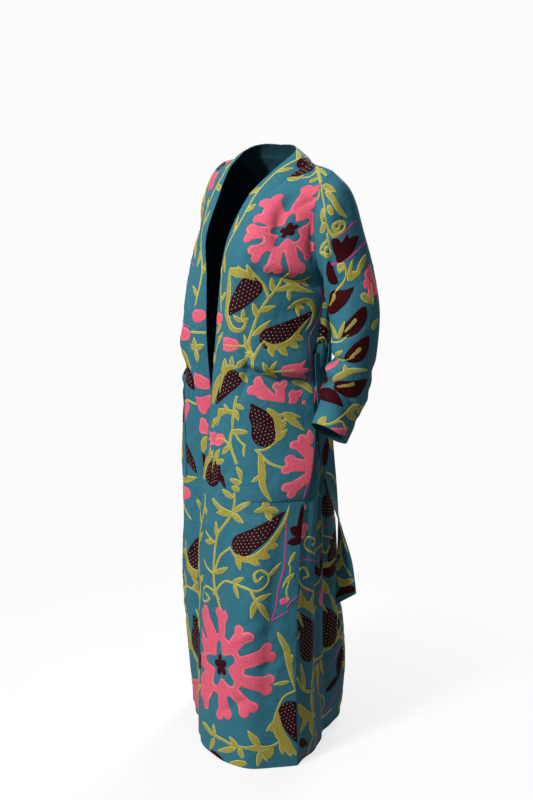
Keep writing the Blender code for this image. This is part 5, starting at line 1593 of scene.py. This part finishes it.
# %% From flat to hung
# In centimetres: farther than any stroke reaches, the margin round a motif, how far thread stops
# short of an edge and runs in under a patch, and how far apart the columns of a front lie
FAR, MARGIN = 9.0, 0.45
EDGE_CLEAR, RUNS_UNDER, COLUMN_STEP = 0.03, 0.5, 0.6


def thread_distance(line, radii, x, y):
    """How far each place lies outside a stroke; negative inside it."""
    best = np.full(x.shape, FAR)
    for a, b, ra, rb in zip(line[:-1], line[1:], radii[:-1], radii[1:]):
        run = b - a
        t = (((x - a[0]) * run[0] + (y - a[1]) * run[1]) / max(run @ run, 1e-9)).clip(0, 1)
        apart = np.hypot(x - a[0] - t * run[0], y - a[1] - t * run[1])
        best = np.minimum(best, apart - (ra + (rb - ra) * t))
    return best


class Hoop:
    """A flat grid over a piece, on which motifs are drawn, and the way from it to the cloth."""

    def __init__(self, name, piece, step, hidden=()):
        closed = piece.closed
        self.name = name
        self.face = np.concatenate([piece.face, piece.face[:1]]) if closed else piece.face
        self.out = np.concatenate([piece.out, piece.out[:1]]) if closed else piece.out
        self.xs = np.arange(piece.x.min() - step, piece.x.max() + 2 * step, step)
        self.ys = np.arange(piece.y[0] - step, piece.y[-1] + 2 * step, step)
        self.rows = np.interp(self.ys, piece.y, np.arange(len(piece.y)))
        self.columns = np.zeros((len(self.xs), len(self.ys)))
        self.beyond = np.zeros_like(self.columns)
        last = piece.x.shape[0] - 1
        for j, row in enumerate(self.rows):
            i = min(int(row), len(piece.y) - 2)
            table = piece.x[:, i] + (row - i) * (piece.x[:, i + 1] - piece.x[:, i])
            rising = table[0] < table[-1]
            order = table if rising else table[::-1]
            found = np.interp(self.xs, order, np.arange(last + 1))
            self.columns[:, j] = found if rising else last - found
            self.beyond[:, j] = np.maximum(order[0] - self.xs, self.xs - order[-1])
        past_ends = np.maximum(piece.y[0] - self.ys, self.ys - piece.y[-1])
        self.beyond = np.maximum(self.beyond, past_ends) + EDGE_CLEAR
        for low_column, high_column, low, high in hidden:
            inside = np.minimum(self.columns - low_column, high_column - self.columns) * COLUMN_STEP
            inside = np.minimum(inside, np.minimum(self.ys - low, high - self.ys))
            self.beyond = np.maximum(self.beyond, inside - RUNS_UNDER)

    def draw(self, rows):
        """One field for each thread, from all the motifs of a layout."""
        fields = {}
        for kind, wide, *points in rows:
            for thread, strokes, cuts in motif(kind, wide, points):
                field = fields.setdefault(thread, np.full(self.columns.shape, FAR))
                low = np.min([(line - radii[:, None]).min(0) for line, radii in strokes], axis=0)
                high = np.max([(line + radii[:, None]).max(0) for line, radii in strokes], axis=0)
                i0, i1 = np.searchsorted(self.xs, [low[0] - MARGIN, high[0] + MARGIN])
                j0, j1 = np.searchsorted(self.ys, [low[1] - MARGIN, high[1] + MARGIN])
                if i1 - i0 < 2 or j1 - j0 < 2:
                    continue
                x, y = np.meshgrid(self.xs[i0:i1], self.ys[j0:j1], indexing="ij")
                near = np.min([thread_distance(line, radii, x, y) for line, radii in strokes], axis=0)
                for line, radii in cuts:
                    near = np.maximum(near, -thread_distance(line, radii, x, y))
                field[i0:i1, j0:j1] = np.minimum(field[i0:i1, j0:j1], near)
        return fields

    def on_cloth(self, columns, rows, lift):
        """Places on the hung cloth, lifted off it."""
        count_i, count_j = self.face.shape[:2]
        i = np.clip(columns.astype(int), 0, count_i - 2)
        j = np.clip(rows.astype(int), 0, count_j - 2)
        u, v = (columns - i)[:, None], (rows - j)[:, None]
        places = []
        for grid in (self.face, self.out):
            low = (1 - u) * grid[i, j] + u * grid[i + 1, j]
            high = (1 - u) * grid[i, j + 1] + u * grid[i + 1, j + 1]
            places.append((1 - v) * low + v * high)
        way = places[1] / np.linalg.norm(places[1], axis=1, keepdims=True)
        return places[0] + way * lift[:, None]


sample = np.array([[0.0, 0.0], [2.0, 0.0], [3.0, 0.0]])
outside = thread_distance(*stroke(sample[:2], lambda t: 0.5), sample[:, 0], sample[:, 1])
print("three places lie outside a stroke by", outside.tolist(), "cm")

# %% Cut a field into triangles
def cut_triangles(field):
    """Triangles of a grid where a field is negative, cut where it is nought.

    Each new corner is given as two grid points and the share of the way between them.
    """
    size = field.size
    quads = grid_quads(np.arange(size).reshape(field.shape))
    corners = np.concatenate([quads[:, [0, 1, 2]], quads[:, [0, 2, 3]]])
    value = field.ravel()
    inside = value[corners] < 0
    count = inside.sum(1)

    def lone_first(rows, which):
        k = which.argmax(1)
        picked = np.arange(len(rows))
        return [rows[picked, (k + step) % 3] for step in range(3)]

    def key(one, other):
        """One number for a corner on the line between two grid points."""
        return np.minimum(one, other) * size + np.maximum(one, other)

    a, b, c = corners[count == 3].T
    p, q, r = lone_first(corners[count == 1], inside[count == 1])
    s, t, u = lone_first(corners[count == 2], ~inside[count == 2])
    faces = np.concatenate([
        np.stack([key(a, a), key(b, b), key(c, c)], -1),
        np.stack([key(p, p), key(p, q), key(p, r)], -1),
        np.stack([key(t, t), key(u, u), key(u, s)], -1),
        np.stack([key(t, t), key(u, s), key(s, t)], -1),
    ])
    keys, faces = np.unique(faces, return_inverse=True)
    one, other = keys // size, keys % size
    gap = value[one] - value[other]
    share = np.where(one == other, 0.0, value[one] / np.where(gap == 0, 1, gap))
    return one, other, share, faces.reshape(-1, 3)


sample = np.ones((3, 3))
sample[1, 1] = -1
print("one point inside a field gives", len(cut_triangles(sample)[3]), "triangles")

# %% [markdown]
# The fruits carry rows of small dots in another thread. Each is made as a low six-sided cone,
# which is enough at this size. They keep clear of a fruit's edge and stand in every other place of each
# row, like a chequerboard.

# %% Dots in the fruits
# Centimetres: a dot's radius, the steps along and across a fruit, and the margin at its edge
DOT_RADIUS, DOT_ALONG, DOT_ACROSS, DOT_MARGIN = 0.17, 0.86, 0.44, 0.42
# Millimetres over the cloth at a dot's middle and at its rim
DOT_MIDDLE, DOT_RIM = 1.75, 1.0
DOT_SIDES = 6


def fruit_dots(wide, points):
    """The middles of the dots in an almond-shaped fruit."""
    line, radii = fruit_stroke(wide, points)
    run = np.concatenate([[0], np.cumsum(np.linalg.norm(np.diff(line, axis=0), axis=1))])

    def place(along):
        return np.array([np.interp(along, run, line[:, k]) for k in (0, 1)])

    dots = []
    for n, along in enumerate(np.arange(-FRUIT * wide + 0.5, run[-1], DOT_ALONG)):
        held = min(max(along, 0.0), run[-1] - 0.2)
        ahead = place(held + 0.2) - place(held)
        way = ahead / max(np.linalg.norm(ahead), 1e-6)
        if along < 0:
            at = line[0] + way * along
            half = math.sqrt(max((FRUIT * wide) ** 2 - along**2, 0.0))
        else:
            at = place(along)
            half = np.interp(along, run, radii)
        half -= DOT_MARGIN
        count = int(half / DOT_MARGIN)
        for k in range(-count, count + 1):
            if (k + n) % 2 == 0 and half > 0:
                dots.append(at + np.array([-way[1], way[0]]) * k * DOT_ACROSS)
    return dots


print("dots in a fruit:", len(fruit_dots(4.6, ((0, 0), (2, 3), (3, 7)))))

# %% [markdown]
# Padding. Thread lies highest in the middle of a shape and rounds down to the cloth at its
# outline. The pink ground of the flowers is lowest, and each thread worked over it starts higher.

# %% Raise the threads
# Millimetres above the cloth at the outline, how much higher inside, and within how many cm
THREAD_BASE = {"pink": 0.20, "purple": 0.25, "burgundy": 0.35, "olive": 0.45}
PADDING, PADDING_ROUND = 0.75, 0.16
stitch_count = {}


def stitched(name, vertices, faces, thread, flat, depth):
    thing = mesh_object(name, swayed(vertices), faces, threads[thread], flat, depth)
    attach(thing, "root")
    stitch_count[name] = len(faces)


def stitch_dots(hoop, middles):
    """One object with all the dots of a layout that lie on the cloth."""
    i = np.clip(np.searchsorted(hoop.xs, middles[:, 0]), 0, len(hoop.xs) - 1)
    j = np.clip(np.searchsorted(hoop.ys, middles[:, 1]), 0, len(hoop.ys) - 1)
    middles = middles[hoop.beyond[i, j] < -0.2]
    if not len(middles):
        return
    turns = 2 * math.pi * np.arange(DOT_SIDES) / DOT_SIDES
    spokes = np.array([(0.0, 0.0)] + [(math.cos(turn), math.sin(turn)) for turn in turns])
    flat = (middles[:, None] + DOT_RADIUS * spokes).reshape(-1, 2)
    start = (DOT_SIDES + 1) * np.arange(len(middles))[:, None]
    wedges = [start + [0, 1 + k, 1 + (k + 1) % DOT_SIDES] for k in range(DOT_SIDES)]
    lines = np.interp(flat[:, 1], hoop.ys, hoop.rows)
    i = np.clip(np.searchsorted(hoop.xs, flat[:, 0]), 1, len(hoop.xs) - 1)
    j = np.clip(np.searchsorted(hoop.ys, flat[:, 1]), 1, len(hoop.ys) - 1)
    part = (flat[:, 0] - hoop.xs[i - 1]) / (hoop.xs[i] - hoop.xs[i - 1])
    columns = hoop.columns[i - 1, j] + part * (hoop.columns[i, j] - hoop.columns[i - 1, j])
    lift = np.tile([DOT_MIDDLE] + [DOT_RIM] * DOT_SIDES, len(middles))
    vertices = hoop.on_cloth(columns, lines, lift / 1000)
    stitched(hoop.name + "_dots", vertices, np.concatenate(wedges), "green", flat, np.full(len(flat), 0.2))


def stitch(hoop, rows):
    """Makes one raised object for each thread in a layout, and one for the dots in its fruits."""
    for thread, field in hoop.draw(rows).items():
        shown = np.maximum(field, hoop.beyond)
        if (shown < 0).sum() < 3:
            continue
        one, other, share, faces = cut_triangles(shown)

        def mixed(grid):
            values = grid.ravel()
            return values[one] + (values[other] - values[one]) * share

        x, y = np.meshgrid(hoop.xs, hoop.ys, indexing="ij")
        columns = mixed(hoop.columns)
        lines = mixed(np.broadcast_to(hoop.rows, hoop.columns.shape))
        rounded = 1 - (1 - np.clip(-mixed(shown) / PADDING_ROUND, 0, 1)) ** 2
        lift = THREAD_BASE[thread] + PADDING * rounded
        vertices = hoop.on_cloth(columns, lines, lift / 1000)
        flat = np.stack([mixed(x), mixed(y)], -1)
        stitched(hoop.name + "_" + thread, vertices, faces, thread, flat, -mixed(field))
    dots = []
    for kind, wide, *points in rows:
        if kind == "paisley":
            dots += fruit_dots(wide, points)
    if dots:
        stitch_dots(hoop, np.array(dots))


print("thread stands at most", max(THREAD_BASE.values()) + PADDING, "mm over the cloth")

# %% Stitch the coat
# What a patch or the belt covers: from which column to which, and from which height to which. The
# pocket's droop bares the cloth just under its top, and 9 is past any edge
under_pocket = (POCKET_BOTTOM * 100, POCKET_TOP * 100 - 5)
hidden = {
    "front_left": [(POCKET_FIRST, COLUMNS + 9, *under_pocket)],
    "front_right": [(-9, COLUMNS - POCKET_FIRST, *under_pocket)],
    "back": [(-9, len(back.points) + 9, BELT_BOTTOM * 100, BELT_TOP * 100)],
}
layouts = (
    # piece, grid step in cm, motifs
    ("front_left", 0.18, LEFT_FRONT),
    ("front_right", 0.20, RIGHT_FRONT),
    ("back", 0.25, BACK),
    ("sleeve_left", 0.20, WHOLE_SLEEVE),
    ("sleeve_right", 0.22, moved(WHOLE_SLEEVE, flip=-1)),
    ("band_left", 0.16, BAND_LEFT),
    ("band_right", 0.16, BAND_RIGHT),
    ("pocket_left", 0.16, LEFT_POCKET),
    ("pocket_right", 0.18, RIGHT_POCKET),
    ("belt_end_left", 0.16, BELT_END),
    ("belt_end_right", 0.16, BELT_END),
    ("belt_end_left_reverse", 0.16, BELT_END),
    ("belt_end_right_reverse", 0.16, BELT_END),
)
for name, step, rows in layouts:
    stitch(Hoop(name, {**pieces, **patches}[name], step, hidden.get(name, ())), rows)
print("triangles of thread:", sum(stitch_count.values()), "most in one:", max(stitch_count.values()))

# %% [markdown]
# The studio. A pale floor takes a soft shadow where the hem rests. A large soft light stands high
# in front of the coat, so its front is bright and the side panel falls away into shade. A weak
# one on the right keeps the folds there readable, and one behind lights the back. The white
# round the coat looks brighter than it shines, so that the shade on the side stays deep.

# %% Paper floor
FLOOR_RADIUS, FLOOR_SIDES = 9, 64
# How bright the white round the coat looks, and how brightly it shines on the coat
WHITE_SEEN = 0.97
PAPER_SHINES, SKY_SHINES, SKY_DARK = 0.22, 0.4, 0.03
floor_mesh = bpy.data.meshes.new("studio_floor")
turns = 2 * math.pi * np.arange(FLOOR_SIDES) / FLOOR_SIDES
rim = [FLOOR_RADIUS * np.cos(turns), FLOOR_RADIUS * np.sin(turns), np.full(FLOOR_SIDES, -MOUNT_HEIGHT)]
floor_mesh.from_pydata(np.stack(rim, -1).tolist(), [], [list(range(FLOOR_SIDES))])
floor = bpy.data.objects.new("studio_floor", floor_mesh)
bpy.context.scene.collection.objects.link(floor)
paper, tree, shader = new_material("studio_paper")
grain = add(tree, "TexNoise", {"Scale": 60.0, "Detail": 3.0}).outputs["Fac"]
tone = add(tree, "Mix", {0: grain, 6: "#E0E0E0", 7: "#E6E6E6"}, data_type="RGBA").outputs[2]
tree.links.new(tone, shader.inputs["Base Color"])
shader.inputs["Roughness"].default_value = 0.9
# Away from the coat the paper is lit from below, which hides where it ends
spot = add(tree, "TexCoord").outputs["Object"]
far = add(tree, "VectorMath", {0: spot}, operation="LENGTH").outputs["Value"]
share = {"Value": far, "From Min": 0.5, "From Max": 1.9, "To Min": 0.12}
share = add(tree, "MapRange", share, interpolation_type="SMOOTHSTEP").outputs[0]
seen = add(tree, "LightPath").outputs["Is Camera Ray"]
level = add(tree, "MapRange", {"Value": seen, "To Min": PAPER_SHINES, "To Max": WHITE_SEEN}).outputs[0]
glow = add(tree, "Emission", {"Color": "#FFFFFF", "Strength": level}).outputs[0]
both = add(tree, "MixShader", {0: share, 1: shader.outputs[0], 2: glow}).outputs[0]
tree.links.new(both, tree.nodes["Material Output"].inputs["Surface"])
floor_mesh.materials.append(paper)
print("the paper lies", MOUNT_HEIGHT, "m under the mount")

# %% White surroundings
# They shine least from high up on the coat's left, so that its side lies in shade
world = bpy.data.worlds.new("studio")
world.use_nodes = True
sky = world.node_tree
toward = add(sky, "TexCoord").outputs["Generated"]
aside = {0: toward, 1: (0.98, 0.199, 0.0)}
aside = add(sky, "VectorMath", aside, operation="DOT_PRODUCT").outputs["Value"]
overhead = add(sky, "SeparateXYZ", {0: toward}).outputs["Z"]
high = {"Value": overhead, "From Min": 0.2, "From Max": 0.5}
dark = {"Value": aside, "From Min": -0.1, "From Max": 0.7, "To Max": 0.9}
high = add(sky, "MapRange", high, interpolation_type="SMOOTHSTEP").outputs[0]
dark = add(sky, "MapRange", dark, interpolation_type="SMOOTHSTEP").outputs[0]
less = add(sky, "Math", {0: high, 1: dark}, operation="MULTIPLY").outputs[0]
lit = add(sky, "MapRange", {"Value": less, "To Min": SKY_SHINES, "To Max": SKY_DARK}).outputs[0]
seen = add(sky, "LightPath").outputs["Is Camera Ray"]
strength = add(sky, "MapRange", {"Value": seen, "To Min": lit, "To Max": WHITE_SEEN}).outputs[0]
sky.nodes["Background"].inputs["Color"].default_value = linear("#FFFFFF")
sky.links.new(strength, sky.nodes["Background"].inputs["Strength"])
bpy.context.scene.world = world
print("the surroundings look", WHITE_SEEN, "bright and shine", SKY_SHINES)

# %% Lights
LIGHTS_LOOK_AT = np.array([0.0, 0.0, -0.6])
LIGHTS = (
    # name, place, size, watts
    ("key", (-0.2, -4.3, 2.3), 1.0, 320),
    ("fill", (3.6, 0.6, 1.2), 2.0, 3),
    ("back_light", (-1.7, 3.9, 2.4), 1.4, 190),
    ("floor_wash", (-0.6, -0.2, 4.2), 3.0, 48),
)
for name, place, size, watts in LIGHTS:
    light = bpy.data.lights.new(name, "AREA")
    light.shape, light.size, light.energy = "DISK", size, watts
    thing = bpy.data.objects.new(name, light)
    bpy.context.scene.collection.objects.link(thing)
    thing.location = place
    way = LIGHTS_LOOK_AT - np.array(place)
    way /= np.linalg.norm(way)
    thing.rotation_euler = (math.acos(-way[2]), 0, math.atan2(way[1], way[0]) - math.pi / 2)
bpy.context.scene.view_settings.view_transform = "Standard"
print("lights:", {name: watts for name, place, size, watts in LIGHTS})
